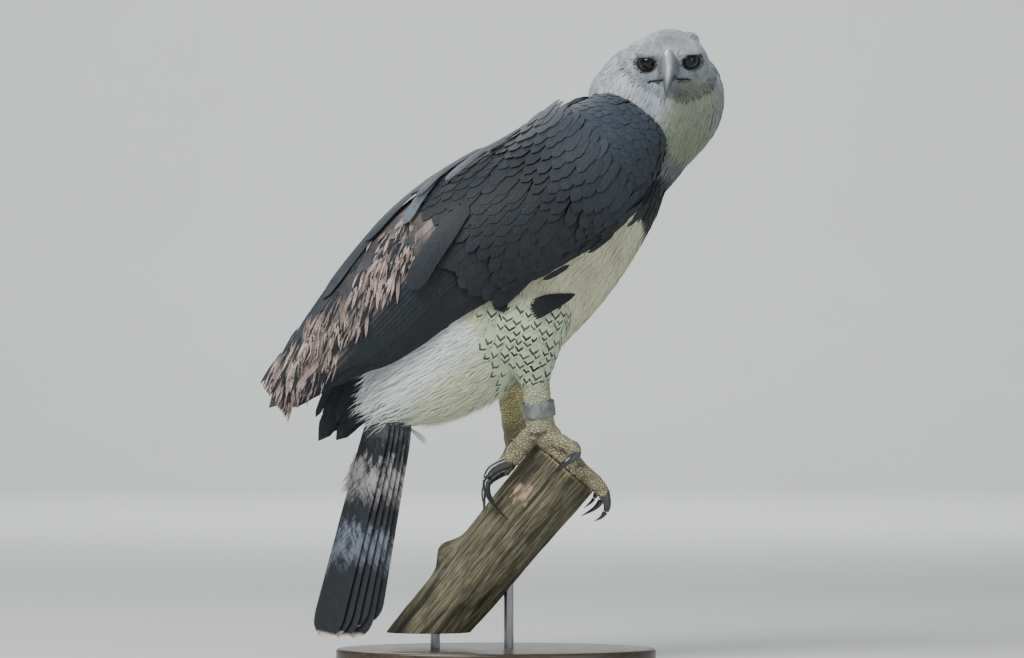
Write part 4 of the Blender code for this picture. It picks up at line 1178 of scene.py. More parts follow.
def lid_form(side):
    """The lids of an eye: a thin shell round the ball, open in an almond with a level top."""
    out = eye_axis(side)
    across = out.cross(UP).normalized()
    rise = across.cross(out)
    bm = bmesh.new()
    bmesh.ops.create_uvsphere(bm, u_segments=64, v_segments=48, radius=1.0)

    def opened(face):
        middle = face.calc_center_median()
        a, b, c = middle.dot(across), middle.dot(rise), middle.dot(out)
        almond = (a / LID_OPENING[0]) ** 2 + ((b + 0.10) / LID_OPENING[1]) ** 2 < 1.0
        return c < -0.35 or (c > 0 and b < LID_OPENING[2] and almond)

    bmesh.ops.delete(bm, geom=[face for face in bm.faces if opened(face)], context="FACES")
    bmesh.ops.solidify(bm, geom=bm.faces[:], thickness=0.070)
    bmesh.ops.scale(bm, vec=[EYE_RADIUS * 1.08] * 3, verts=bm.verts[:])
    for _ in range(3):
        bmesh.ops.smooth_vert(bm, verts=bm.verts[:], factor=0.5, use_axis_x=True, use_axis_y=True,
                              use_axis_z=True)
    bmesh.ops.recalc_face_normals(bm, faces=bm.faces[:])
    return moved(bm, HEAD @ Matrix.Translation(eye_centre(side)))


def brow_form(side):
    """The bony ridge that hangs over an eye and slopes down to the bill."""
    bm = ellipsoid((0.0, 0.0, 0.0), (0.0078, 0.0165, 0.0046), 32, 20)
    turn = Matrix.Rotation(math.radians(7 * side), 4, "X") @ Matrix.Rotation(math.radians(32 * side), 4, "Z")
    return moved(moved(bm, turn), HEAD @ Matrix.Translation((0.0425, side * 0.0265, 0.0145)))


def mouth_height(y):
    """The level of the corner of the mouth beside the bill."""
    return MOUTH[2] - 0.10 * (abs(y) - MOUTH[0])


def mouth_line(side):
    """The dark lips that run back from the bill."""
    points = []
    for part in (0.0, 0.35, 0.7, 1.0):
        y = side * between(MOUTH[:2], part)
        z = mouth_height(y)
        x = HEAD_FRONT * math.sqrt(1.0 - (y / HEAD_HALF_WIDTH) ** 2 - (z / HEAD_THROAT) ** 2)
        points.append(HEAD @ Vector((x - COAT["head"] + 0.0012, y, z)))
    return tube_form(points, lambda share, turn: 0.0013 * (1.0 - 0.7 * share**2), 12, 20)


body_forms = [moved(rounded_form(TORSO, 64, 60, 0.45, -COAT["torso"]), BIRD)]
body_forms.append(moved(rounded_form(NECK, 56, 40, 0.5, -COAT["neck"]), BIRD))
for leg_name in SIDES:
    body_forms.append(moved(thigh_form(leg_name, -COAT["thigh"]), BIRD))
body_forms.append(moved(head_form(-COAT["head"] - 0.0008), HEAD))
body_skin = remeshed("body_skin", body_forms, 0.0042, 10)
head_forms = [moved(head_form(-COAT["head"]), HEAD)] + [brow_form(side) for side in SIDES.values()]
head_forms.append(moved(ellipsoid(*CROWN_CORNER, 32, 20), HEAD))
head_skin = remeshed("head_skin", head_forms, 0.0018, 8)
body_skin = join_pieces("body_skin", [body_skin, head_skin])
body_surface = Surface(body_skin.data)
wing_skins = {}
wing_surfaces = {}
for wing_name in SIDES:
    core = moved(wing_core_form(wing_name, COAT["wing"]), BIRD)
    wing_skins[wing_name] = piece_from(f"wing_skin_{wing_name}", [core], None)
    wing_surfaces[wing_name] = Surface(wing_skins[wing_name].data)


def scuted(obj):
    """Scales stand up a little on the front of each leg and on top of each toe."""
    bm = bmesh.new()
    bm.from_mesh(obj.data)
    for vert in bm.verts:
        rough = noise.noise(vert.co * 260.0)
        lumps = noise.noise(vert.co * 95.0 + Vector((4.0, 1.0, 7.0)))
        vert.co += vert.normal * (0.00055 * rough + 0.0010 * lumps)
    bm.to_mesh(obj.data)
    bm.free()


PAD_LOW = -0.0002
PAD_SIDE = 0.0470
PAD_COUNT = 9
leg_skins = []
for leg_name in SIDES:
    leg_forms = [moved(shin_form(leg_name), BIRD)]
    palm = ellipsoid(branch_point(PALMS[leg_name]), PALM_RADII)
    leg_forms += [palm] + [toe_form(toe) for toe in TOES[leg_name].values()]
    turn = Matrix((U, V, W)).transposed().to_4x4()
    for toe_name in ("inner", "middle", "hallux"):
        stations = even_stations(TOES[leg_name][toe_name]["path"])
        for number in range(PAD_COUNT):
            u, v, w = smooth(stations, (number + 1) / (PAD_COUNT + 1))
            if toe_name == "hallux":
                size, middle = (0.0070, (v - PAD_SIDE) / 2, 0.0070), (u, (v + PAD_SIDE) / 2, w)
            else:
                size, middle = ((u - PAD_LOW) / 2, 0.0070, 0.0075), ((u + PAD_LOW) / 2, v, w)
            if min(size) > 0.002:
                pad = ellipsoid((0.0, 0.0, 0.0), size)
                leg_forms.append(moved(pad, Matrix.Translation(branch_point(middle)) @ turn))
    leg_skin = remeshed(f"leg_skin_{leg_name}", leg_forms, 0.0013, 3)
    scuted(leg_skin)
    leg_skins.append(leg_skin)


# One yellow leg skin in painted light: the near right leg with a painted green cast of reflected light, the
# far left leg painted brighter than the shade it stands in.
LEG_RIGHT_GREEN_CAST = Vector((0.62, 0.66, 0.44))
LEG_LEFT_BRIGHTENED = Vector((0.84, 0.76, 0.42))
TOE_COLOUR = Vector((0.44, 0.40, 0.26))


def leg_colour(point):
    b = BIRD_BACK @ point
    # Lit and shaded copies of one leg colour, as painted light.
    tone = LEG_RIGHT_GREEN_CAST if b.y < 0 else LEG_LEFT_BRIGHTENED
    spots = ease(patches(point, 130.0, 2.0), 0.45, 0.75)
    low = 1.0 - ease(b.z, 0.285, 0.315)
    tone = mixed(tone, TOE_COLOUR, low)
    return mixed(tone, tone * 0.45, (0.20 + 0.40 * low) * spots)


def wing_hides(point):
    return any(surface.near(point, 0.006) or surface.inside(point) for surface in wing_surfaces.values())


def skin_colours(mesh, first_leg_point, wing_points):
    """Colour and scaliness of every point of the skin."""
    colours, scales = [], []
    for vert in mesh.vertices:
        leg = vert.index >= first_leg_point
        if wing_points[0] <= vert.index < wing_points[1]:
            colour = SLATE
        else:
            colour = leg_colour(vert.co) if leg else body_colour(vert.co)
            if not leg and wing_hides(vert.co):
                colour = SLATE
        colours.append((*colour, 1.0))
        scales.append(1.0 if leg else 0.0)
    layer = mesh.attributes.new("Col", "FLOAT_COLOR", "POINT")
    layer.data.foreach_set("color", np.array(colours, dtype=np.float32).reshape(-1))
    layer = mesh.attributes.new("scaly", "FLOAT", "POINT")
    layer.data.foreach_set("value", np.array(scales, dtype=np.float32))


def skin_finish():
    f = Finish("skin_and_scales", roughness=0.62, specular_ior_level=0.4)
    place = f.object_place()
    colour = f.attribute("Col").outputs["Color"]
    scaly = f.attribute("scaly").outputs["Fac"]
    scale_place = f.stretched(place, (1.0, 1.0, 1.3))
    scales = f.cells(scale_place, 240.0)
    creases = f.cells(scale_place, 240.0, "DISTANCE_TO_EDGE")
    fine = f.noise(place, 900.0)
    # Painted shade in the creases between the leg scales.
    crease_shade = f.fit(creases, 0.02, 0.16, 0.50, 1.0)
    scaled = f.mix(scaly, colour, f.mix(1.0, colour, f.grey(crease_shade), "MULTIPLY"))
    height = f.plus(f.times(f.fit(creases, 0.0, 0.25), scaly), f.times(fine, 0.15))
    height = f.minus(height, f.times(scales, 0.3))
    return f.finish(scaled, f.fit(fine, 0.2, 0.8, 0.45, 0.75), f.bump(height, 1.0, 0.0014))


lids = piece_from("lids", [form(side) for side in SIDES.values() for form in (lid_form, mouth_line)], None)
wing_points = [len(body_skin.data.vertices)] * 2
wing_points[1] += sum(len(wing.data.vertices) for wing in wing_skins.values())
first_leg_point = wing_points[1] + len(lids.data.vertices)
bird_skin = join_pieces("bird_skin", [body_skin, *wing_skins.values(), lids, *leg_skins])
skin_colours(bird_skin.data, first_leg_point, wing_points)
bird_skin.data.materials.append(skin_finish())
wear(bird_skin, "torso", "neck", "head", "thigh_right", "thigh_left", "shin_right", "shin_left",
     "foot_right", "foot_left", slot="white_feather")


# The small feathers of head, neck and body.
def bare(point):
    """Places of the head that carry no feathers: the eyes, lids, bill and mouth."""
    h = HEAD_BACK_TURN @ point
    if h.x < 0.015:
        return False
    for side in (-1.0, 1.0):
        if eye_skin_reach(h, side) < 0.93 and h.z < EYE_SKIN[4]:
            return True
    if abs(h.z - mouth_height(h.y)) < 0.0014 and abs(h.y) < MOUTH[1]:
        return True
    return h.x > 0.040 and abs(h.y) < 0.0090 and -0.020 < h.z < 0.014


def place_name(point):
    return "hidden" if bare(point) or wing_hides(point) else region(point)


body_surface.tag(place_name)


def feathered(point):
    return not bare(point)


def chance(low, high):
    return low + (high - low) * SEED.random()


def shaded(colour, low, high):
    return colour * chance(low, high)


soft_finish = feather_finish("soft_feather", 0.08, sheen=0.22, rough=0.92)
down_finish = feather_finish("loose_down", 0.04, sheen=0.50, rough=0.95)
slate_finish = feather_finish("slate_feather_vane", 0.26, sheen=0.10, rough=0.62,
                              edge=(0.10, (0.08, 0.10, 0.13)))
thigh_finish = feather_finish("barred_thigh_feather", 0.08, sheen=0.25, rough=0.80, bars=thigh_bars)
tail_finish = feather_finish("tail_feather_vane", 0.30, sheen=0.12, rough=0.55, bars=tail_bars)
worn_finish = feather_finish("worn_feather_tip", 0.35, sheen=0.15, rough=0.80)

small_leaf = blade_pattern(3, 4)
small_outline = leaf_outline(0.45, 0.40, 0.20)
broad_leaf = blade_pattern(6, 7)
broad_outline = leaf_outline(0.60, 0.50, 0.42)


def head_spacing(point):
    h = HEAD_BACK_TURN @ point
    return between((0.0015, 0.0023), ease(-h.x, -0.045, 0.030))


head_coat = Coat(4)
for root in body_surface.scatter(head_spacing, feathered, ["head"], 0.0016):
    h = HEAD_BACK_TURN @ root
    back = ease(-h.x, -0.048, 0.030)
    length = between((0.0042, 0.0130), back) * chance(0.85, 1.15)
    path, ups = body_surface.lie(root, flow, length, 4)
    colour = body_colour(root)
    tip = mixed(colour, ASH_PALE, 0.12) if SEED.random() < 0.75 else colour * 0.55
    head_coat.add(path, ups, between((0.00060, 0.00150), back), (0.0008, between((0.0022, 0.0034), back)),
                  (shaded(colour, 0.75, 0.95), shaded(tip, 0.9, 1.1)), bake_place(root))
wear(head_coat.build("coat_head", small_leaf, small_outline, soft_finish), slot="grey_feather")


def lay_body(name, spacing, where, length, half_width, lifts, finish, pattern, outline, slot, mark=0.0,
             steps=4, camber=0.25, tone=(0.82, 1.08)):
    """One coat piece of even small feathers over a region of the body."""
    coat = Coat(steps)
    for root in body_surface.scatter(lambda point: spacing, feathered, list(where), spacing):
        path, ups = body_surface.lie(root, flow, length * chance(0.85, 1.15), steps)
        colour = body_colour(root)
        light = chance(*tone)
        coat.add(path, ups, half_width * chance(0.85, 1.15), (lifts[0], lifts[1] * chance(0.8, 1.2)),
                 (colour * light * 0.9, colour * light), bake_place(root), mark=mark * chance(0.85, 1.0),
                 camber=camber)
    return wear(coat.build(name, pattern, outline, finish), slot=slot)


lay_body("coat_neck", 0.0023, ("neck",), 0.0170, 0.0019, (0.0030, 0.0043), soft_finish,
         small_leaf, small_outline, "grey_feather", camber=0.04, tone=(0.92, 1.06))
lay_body("coat_belly", 0.0029, ("belly",), 0.0220, 0.0024, (0.0028, 0.0040), soft_finish,
         small_leaf, small_outline, "white_feather", camber=0.04, tone=(0.95, 1.03))
lay_body("coat_back", 0.0085, ("back",), 0.0260, 0.0075, (0.0015, 0.0060), slate_finish,
         broad_leaf, broad_outline, "slate_feather")
for leg_name in SIDES:
    lay_body(f"coat_thigh_{leg_name}", 0.0092, (f"thigh_{leg_name}",), 0.0260, 0.0085,
             (0.0012, 0.0040), thigh_finish, broad_leaf, broad_outline, "barred_feather", mark=1.0,
             tone=(0.94, 1.03), steps=6, camber=0.06)
    lay_body(f"down_thigh_{leg_name}", 0.0034, (f"thigh_{leg_name}",), 0.0120, 0.0022,
             (0.0006, 0.0020), soft_finish, small_leaf, small_outline, "barred_feather", camber=0.08,
             tone=(0.92, 1.03))


# Loose white down of the vent, which streams back over the root of the tail.
def down_flow(point):
    return turned(BIRD, Vector((-0.86, 0.0, -0.50)))


vent_coat = Coat(5)
for root in body_surface.scatter(lambda point: 0.0021, feathered, ["vent"], 0.0021):
    b = BIRD_BACK @ root
    loose = ease(-b.x, 0.080, 0.150) * SEED.random()
    length = chance(0.022, 0.036) + 0.020 * loose
    path, ups = body_surface.lie(root, down_flow, length, 5)
    way = down_flow(root)
    wave = turned(BIRD, Vector((chance(-0.4, 0.1), chance(-0.3, 0.3), chance(-0.3, 0.3))))
    path = [
        mixed(p, path[0] + way * (length * i / 5), loose) + wave * (0.007 * (i / 5) ** 2)
        for i, p in enumerate(path)
    ]
    # Painted green reflected light on the lower, underside part of the down.
    low = 1.0 - ease((b - TORSO_LOW).dot(TORSO_RISE), -0.050, -0.012)
    colour = mixed(DOWN, DOWN_IN_GREEN_LIGHT, 0.85 * low * (1.0 - 0.5 * loose))
    vent_coat.add(path, ups, chance(0.0005, 0.0013), (0.0020, 0.0034 + 0.005 * SEED.random() ** 4),
                  (colour * chance(0.92, 1.0), colour * chance(1.0, 1.06)), bake_place(root), camber=0.05)
wear(vent_coat.build("coat_vent", small_leaf, small_outline, down_finish), slot="white_feather")


# Black feathers of the flank, and a stray white one under the tail, at their places in the picture.
def seen_place(x, z):
    """The place of the body that the camera sees at x and z of the layout."""
    place, _, index, _ = body_surface.tree.ray_cast(Vector((x, -0.5, z)) + SHIFT, ACROSS)
    return place, body_surface.normals[index]


flank_coat = Coat(8)
FLANK_LEAVES = (
    # its start, and the two ends between which its feathers spread, as x and z of the layout
    ((0.076, 0.464), (0.024, 0.453), (0.026, 0.431)),
    ((-0.004, 0.474), (-0.022, 0.446), (-0.010, 0.438)),
)
for index in range(18):
    share = index % 9 / 8
    start, first_end, last_end = (Vector(p) for p in FLANK_LEAVES[index // 9])
    end = mixed(first_end, last_end, share) + Vector((-0.006 * (1.0 - abs(2 * share - 1.0)), 0.0))
    places = [seen_place(*mixed(start, end, k / 8)) for k in range(9)]
    flank_coat.add([p for p, _ in places], [n for _, n in places], 0.0046 * chance(0.9, 1.1),
                   (0.0052, 0.0075), (BLACK, BLACK * 1.4), bake_place(places[0][0]), camber=0.05)
wear(flank_coat.build("flank_feathers", blade_pattern(6, 9), leaf_outline(0.4, 0.45, 0.15), slate_finish),
     slot="slate_feather")


# The lowered crest: long feathers from the crown over the nape.
CREST_ROWS = ((-0.012, 9, 0.030, 0.036), (-0.022, 9, 0.034, 0.050), (-0.032, 9, 0.038, 0.060))
crest_coat = Coat(7)
for row_index, (crest_x, count, reach, length) in enumerate(CREST_ROWS):
    for index in range(count):
        spread = (index / (count - 1) - 0.5) * 2.0 + chance(-0.05, 0.05)
        round_head = 1.0 - (crest_x / HEAD_BACK) ** 2 - (spread * 0.024 / 0.050) ** 2
        height = HEAD_CROWN * math.sqrt(max(round_head, 0.05))
        start = Vector((crest_x, spread * 0.024, height - 0.0022 + 0.0012 * row_index))
        grown = length * (1.10 - 0.25 * abs(spread)) * chance(0.92, 1.08)
        path, ups = [], []
        for step in range(8):
            part = step / 7
            fall = 0.04 * part - 0.38 * part**2
            point = start + Vector((-0.97 * grown * part, spread * 0.010 * part, fall * grown))
            path.append(HEAD @ point)
            ups.append(turned(HEAD, Vector((0.25 * part, 0.35 * spread, 1.0))))
        colour = mixed(ASH, ASH_DARK, 0.05 + 0.15 * SEED.random())
        crest_coat.add(path, ups, 0.0065 * chance(0.85, 1.1), (0.0, 0.0), (colour, colour * 0.62),
                       (0.5 + 0.3 * spread, 0.2 + 0.2 * row_index), camber=0.20)
wear(crest_coat.build("crest", blade_pattern(6, 10), leaf_outline(0.5, 0.62, 0.30), soft_finish),
     slot="grey_feather")


# The wings.
def slate_at(along, across):
    """Blue slate at the shoulder and near black on the coverts; painted shade darkens the lower edge and a
    painted highlight pales the top edge.
    """
    colour = mixed(SLATE_PALE, SLATE, ease(along, -0.02, 0.11))
    # Painted shade towards the lower edge of the wing.
    colour = mixed(colour, BLACK * 1.6, 0.55 * ease(across, 0.45, 0.95))
    # Painted highlight along the top edge of the wing.
    return mixed(colour, SLATE_PALE, 0.22 * (1.0 - ease(across, 0.02, 0.22)))


WORN_PLACES = (
    # along, across, half length, half width and strength of the bleached patches
    (0.305, 0.30, 0.045, 0.18, 0.90),
    (0.395, 0.32, 0.075, 0.17, 1.00),
    (0.490, 0.38, 0.065, 0.26, 1.00),
    (0.450, 0.04, 0.110, 0.05, 0.45),
)


def worn_at(along, across):
    amount = 0.0
    for a, c, length, width, strength in WORN_PLACES:
        away = math.sqrt(((along - a) / length) ** 2 + ((across - c) / width) ** 2)
        amount = max(amount, strength * (1.0 - ease(away, 0.65, 1.25)))
    return amount


# root and tip are distances along, across runs from the back to the lower edge, lift is over the sheet.
TIERS = (
    dict(count=8, root=(0.215, 0.230), tip=(0.540, 0.440), across=(0.72, 0.96), tip_across=(0.80, 0.99),
         lift=(-0.0020, -0.0092), half_width=0.0140),
    dict(count=15, root=(0.190, 0.205), tip=(0.565, 0.400), across=(0.34, 0.90), tip_across=(0.50, 0.95),
         lift=(0.0100, -0.0002), half_width=0.0150),
    dict(count=6, root=(0.150, 0.170), tip=(0.500, 0.552), across=(0.08, 0.30), tip_across=(0.20, 0.46),
         lift=(0.0150, 0.0112), half_width=0.0165),
    dict(count=14, root=(0.140, 0.150), tip=(0.325, 0.275), across=(0.14, 0.84), tip_across=(0.20, 0.99),
         lift=(0.0172, 0.0080), half_width=0.0145),
)
# The long feathers over the shoulder blade that the picture shows one by one.
LONG_ONES = (
    # root along, tip along, root across, tip across, lift, half width, tone (how far the tip pales with
    # painted sheen)
    (0.075, 0.215, 0.02, 0.03, 0.0212, 0.0070, 0.20),
    (0.094, 0.222, 0.05, 0.20, 0.0262, 0.0066, 0.60),
    (0.130, 0.262, 0.01, 0.04, 0.0210, 0.0072, 0.15),
    (0.150, 0.262, 0.04, 0.14, 0.0250, 0.0064, 0.45),
    (0.188, 0.298, 0.05, 0.24, 0.0238, 0.0072, 1.00),
    (0.185, 0.345, 0.01, 0.05, 0.0205, 0.0080, 0.05),
    (0.240, 0.430, 0.00, 0.06, 0.0186, 0.0078, 0.10),
    (0.300, 0.490, 0.00, 0.08, 0.0158, 0.0078, 0.05),
    (0.360, 0.545, 0.02, 0.14, 0.0138, 0.0082, 0.12),
    (0.222, 0.344, 0.42, 0.62, 0.0205, 0.0135, 0.02),
)


def wing_bake(along, across):
    """A place of the wing on its unwrap."""
    return 0.02 + 0.95 * (along + 0.07) / 0.66, 0.02 + 0.95 * min(max(across, 0.0), 1.0)


def wing_feather(coat, name, root, tip, start, end, lift, half_width, colours, steps, bend=1.3,
                 rise=0.0006, camber=0.06, bake=None, roll=0.0, thick=0.00025):
    """One feather laid on the wing's sheet. roll lifts its lower edge over the next feather."""
    path, ups = [], []
    for step in range(steps + 1):
        part = step / steps
        along = root + (tip - root) * part
        across = start + (end - start) * part**bend
        path.append(BIRD @ wing_point(along, across, lift + rise * part, name))
        normal = wing_normal(along, across, name)
        down = wing_point(along, across + 0.01, lift, name) - wing_point(along, across, lift, name)
        ups.append(turned(BIRD, normal - down.normalized() * roll))
    coat.add(path, ups, half_width, (0.0, 0.0), colours, bake or wing_bake(root, start), camber=camber,
             thick=thick)


QUILL_STEPS = 14


def lay_quills(name):
    """The long feathers of one wing, in overlapping tiers. Only the near wing is bleached."""
    coat = Coat(QUILL_STEPS)
    bleached = 0.80 if name == "right" else 0.0
    for tier in TIERS:
        count = tier["count"]
        for index in range(count):
            share = index / (count - 1)
            root, tip = between(tier["root"], share), between(tier["tip"], share)
            start, end = between(tier["across"], share), between(tier["tip_across"], share)
            tip += chance(-0.006, 0.006)
            light = chance(0.75, 1.20)
            tones = []
            for k in range(QUILL_STEPS + 1):
                along, across = between((root, tip), k / QUILL_STEPS), between((start, end), k / QUILL_STEPS)
                patch = ease(patches(Vector((along * 4, across, index)), 6.0), 0.3, 0.7)
                patch *= worn_at(along, across) * bleached
                tones.append(mixed(slate_at(along, across) * light, WORN * 0.62, patch))
            wing_feather(coat, name, root, tip, start, end, between(tier["lift"], share),
                         tier["half_width"] * chance(0.92, 1.08), tones, QUILL_STEPS,
                         bake=(0.30 + 0.03 * index, 0.1 + 0.15 * TIERS.index(tier)))
    for root, tip, start, end, lift, half_width, tone in LONG_ONES:
        base = slate_at(root, start)
        # The tips pale with painted sheen of the top light.
        pale = mixed(base, LONG_TIP_SHEEN, tone)
        tones = [mixed(base, pale, ease(k / QUILL_STEPS, 0.45, 0.85)) for k in range(QUILL_STEPS + 1)]
        wing_feather(coat, name, root, tip, start, end, lift, half_width, tones, QUILL_STEPS,
                     rise=0.0016, bake=(0.9, 0.5 + tip))
    return coat.build(f"wing_{name}_quills", blade_pattern(8, 22), leaf_outline(0.62, 0.80, 0.32),
                      slate_finish, crowd=1.15, patch=(0.010, 0.003))


def cover_lift(along, across):
    """The height over the sheet at which the small feathers lie."""
    over_quills = 0.0212 - 0.0100 * across - 0.030 * max(along - 0.20, 0.0)
    if along < 0.10:
        return core_outside(along, across)
    return max(core_outside(along, across), over_quills * ease(along, 0.08, 0.14))


COVERT_THICK = 0.00014


def lay_coverts(name):
    """Small rounded feathers in staggered rows from the shoulder back over the long ones."""
    coat = Coat(5)
    surface = wing_surfaces[name]

    def wing_flow(point):
        return turned(BIRD, WING_AXIS + Vector((0.0, 0.0, -0.12)))

    along, row = -0.060, 0
    while along < 0.225:
        size = ease(along, -0.05, 0.11)
        pitch = between((0.0085, 0.0150), size)
        across = between((-0.03, 0.015), ease(along, 0.0, 0.05))
        across += 0.5 * (row % 2) * pitch / wing_scale(along, 0.2, name)
        while across < 1.06:
            here = along + chance(-0.0022, 0.0022) + 0.010 * math.sin(across * 5.0 + 1.0)
            place = across + chance(-0.1, 0.1) * pitch / 0.12
            length = between((0.0210, 0.0420), size) * chance(0.92, 1.08)
            colour = slate_at(here, place) * chance(0.90, 1.12)
            bake = wing_bake(here, place)
            half = pitch * 0.66 * chance(0.92, 1.08)
            if here < 0.030:
                root = BIRD @ wing_point(here, place, core_outside(here, place) - 0.002, name)
                path, ups = surface.lie(root, wing_flow, length, 5)
                coat.add(path, ups, half * 1.22, (0.0026, 0.0042), (colour * 0.92, colour), bake, camber=0.05,
                         thick=COVERT_THICK)
            elif place < 0.965:
                drift = (0.035 + 0.05 * size) * (1.0 - ease(place, 0.72, 0.95))
                half *= 1.0 - 0.55 * ease(place, 0.78, 0.94)
                lift = cover_lift(here, place) - 0.0008 + chance(-0.0001, 0.0001)
                wing_feather(coat, name, here, here + length, place, place + drift, lift, half,
                             (colour * 0.92, colour), 5, rise=0.0013, bend=1.0, camber=0.02, bake=bake,
                             roll=0.02, thick=COVERT_THICK)
            across += pitch / wing_scale(here, min(max(across, 0.05), 0.95), name)
        along += between((0.0078, 0.0140), size)
        row += 1
    return coat.build(f"wing_{name}_coverts", broad_leaf, broad_outline, slate_finish)


def quill_lift(along, across):
    """The height over the sheet of the outermost long feathers."""
    inner = between((0.0155, 0.0118), ease(across, 0.10, 0.42))
    outer = between((0.0108, 0.0004), min(max((across - 0.42) / 0.50, 0.0), 1.0))
    lift = inner if across < 0.42 else outer
    return max(lift, core_outside(along, across) + 0.001) if along < 0.29 else lift


WORN_ENDS = 1300


def chance_count(low, high):
    return int(chance(low, high + 1))


def lay_worn_tips(name):
    """Bleached feather ends: flame-like fans of pale frayed strands, with dark gaps between them."""
    coat = Coat(5)
    for _ in range(WORN_ENDS):
        along, across = chance(0.235, 0.540), chance(-0.02, 0.97)
        cluster = ease(patches(Vector((along, across * 0.10, 0.0)), 42.0, 3.0), 0.36, 0.52)
        if SEED.random() > worn_at(along, across) * cluster:
            continue
        scale = wing_scale(along, across, name)
        spread = chance(0.004, 0.010) / scale
        reach = chance(0.026, 0.050)
        light = chance(0.24, 0.90)
        fall = min(reach * chance(0.10, 0.45) / scale, max(0.94 - across, 0.0))
        lift = quill_lift(along, across) + chance(0.0004, 0.0028)
        base = slate_at(along, across)
        for _ in range(chance_count(5, 9)):
            side = chance(-1.0, 1.0)
            pale = SEED.random() < 0.60
            root = along + chance(-0.004, 0.004)
            tip = min(root + reach * (1.0 - 0.30 * side * side) * chance(0.7, 1.1), 0.554)
            point = WORN * light * chance(0.80, 1.15) if pale else base * 1.2
            tones = [mixed(base, point, ease(k / 5, 0.0, 0.55)) for k in range(6)]
            wing_feather(coat, name, root, tip, across + 0.4 * spread * side, across + spread * side + fall,
                         lift, chance(0.0009, 0.0030), tones, 5, rise=0.0014 * SEED.random(), camber=0.12)
    return coat.build(f"wing_{name}_worn_tips", small_leaf, leaf_outline(0.45, 0.35, 0.12), worn_finish)


for wing_name in SIDES:
    wear(lay_quills(wing_name), f"wing_{wing_name}", slot="slate_feather")
    wear(lay_coverts(wing_name), slot="slate_feather")
wear(lay_worn_tips("right"), slot="slate_feather")


# The tail.
TAIL_PAIRS = 6
TAIL_HALF_WIDTH = 0.0215
TAIL_LAYER = 0.0027


def tail_feather(coat, first, last, middle_root, middle_tip, lift, half_width, colours, steps, bake, rise=0.0,
                 camber=0.10, mark=0.5):
    path, ups = [], []
    for step in range(steps + 1):
        part = step / steps
        distance = first + (last - first) * part
        arc = middle_root + (middle_tip - middle_root) * part
        low = tail_point(distance, arc, lift + rise * part)
        path.append(BIRD @ low)
        ups.append(turned(BIRD, tail_point(distance, arc, lift + rise * part + 0.01) - low))
    coat.add(path, ups, half_width, (0.0, 0.0), colours, bake, camber=camber, thick=0.0003, mark=mark)


TAIL_STEPS = 18
tail_coat = Coat(TAIL_STEPS)
for pair in range(TAIL_PAIRS):
    for side in (1.0, -1.0):
        reach = TAIL_LENGTH * (1.0 - 0.010 * pair * (pair % 2) - 0.006 * pair)
        lift = -TAIL_LAYER * pair - (TAIL_LAYER / 2 if side > 0 else 0.0)
        tail_feather(tail_coat, -0.012, reach, side * (pair + 0.45) * TAIL_STEP[0],
                     side * (pair + 0.45) * TAIL_STEP[1], lift, TAIL_HALF_WIDTH,
                     (BLACK * 1.6, SLATE * 0.8), TAIL_STEPS, (0.1 + 0.12 * pair, 0.3 if side > 0 else 0.7),
                     mark=SEED.random(), camber=0.05)
tail_left = min((-1.0, 1.0), key=lambda side: tail_point(0.25, side * 0.03, 0.0).x)
tail_feather(tail_coat, 0.02, TAIL_LENGTH * 0.80, tail_left * 0.0185, tail_left * 0.0520, -0.0155, 0.0016,
             (ASH_PALE, ASH_PALE), TAIL_STEPS, (0.9, 0.9), camber=0.0)
wear(tail_coat.build("tail_feathers", blade_pattern(8, 30), leaf_outline(0.42, 0.92, 0.16), tail_finish,
                     patch=(0.010, 0.10), crowd=1.8), "tail", slot="tail_feather")

tail_coverts = Coat(6)
for _ in range(46):
    spread = chance(-1.0, 1.0)
    first = chance(-0.030, 0.020)
    tail_feather(tail_coverts, first, first + chance(0.045, 0.075), spread * 0.020, spread * 0.030,
                 0.0015 + chance(0.0, 0.003), chance(0.007, 0.010), (BLACK * 1.6, BLACK * 2.2), 6,
                 (0.5 + 0.4 * spread, 0.3 + 4 * first), rise=0.002)
wear(tail_coverts.build("tail_coverts", blade_pattern(6, 9), leaf_outline(0.6, 0.6, 0.3), slate_finish),
     slot="slate_feather")

# The edge that the picture shows on the left, with its pale line and the down that stands out behind it.
undertail = Coat(5)
for _ in range(420):
    first = chance(0.115, 0.150)
    root = BIRD @ tail_point(first, tail_left * chance(0.024, 0.036), -chance(0.004, 0.012))
    way = Vector((-chance(0.05, 0.55), chance(-0.2, 0.2), -1.0)).normalized() * chance(0.025, 0.048)
    path = [root + way * (k / 5) + Vector((-0.004, 0.0, 0.0)) * (k / 5) ** 2 for k in range(6)]
    colour = DOWN * chance(0.50, 0.85)
    undertail.add(path, [-ACROSS] * 6, chance(0.0004, 0.0011), (0.0, 0.0), (colour * 0.7, colour),
                  (0.5, 0.3 + 4 * first))
for _ in range(14):
    stray = Vector((chance(-1, 1), chance(-1, 1), chance(-1, 1))) * 0.002
    root = Vector((-0.128, -0.030, 0.296)) + SHIFT + stray
    way = Vector((0.022, chance(-0.004, 0.004), -0.019 + chance(-0.005, 0.005)))
    path = [root + way * (k / 5) for k in range(6)]
    undertail.add(path, [-ACROSS] * 6, chance(0.0008, 0.0016), (0.0, 0.0), (DOWN * 0.8, DOWN), (0.5, 0.2))
for _ in range(900):
    spread = chance(-1.0, 1.0)
    first = chance(-0.020, 0.110)
    colour = DOWN * chance(0.7, 1.05)
    tail_feather(undertail, first, first + chance(0.022, 0.048), spread * (0.018 + 0.10 * first),
                 spread * 0.034 + chance(-0.006, 0.006), -0.0165 - chance(0.0, 0.006), chance(0.0006, 0.0018),
                 (colour * 0.85, colour), 5, (0.5 + 0.4 * spread, 0.3 + 4 * first), rise=-0.006)
wear(undertail.build("undertail_down", small_leaf, small_outline, soft_finish), slot="white_feather")


# Horn: the bill and the claws.
HORN_BLACK = (0.006, 0.006, 0.007)
BILL_BEND = 0.0050


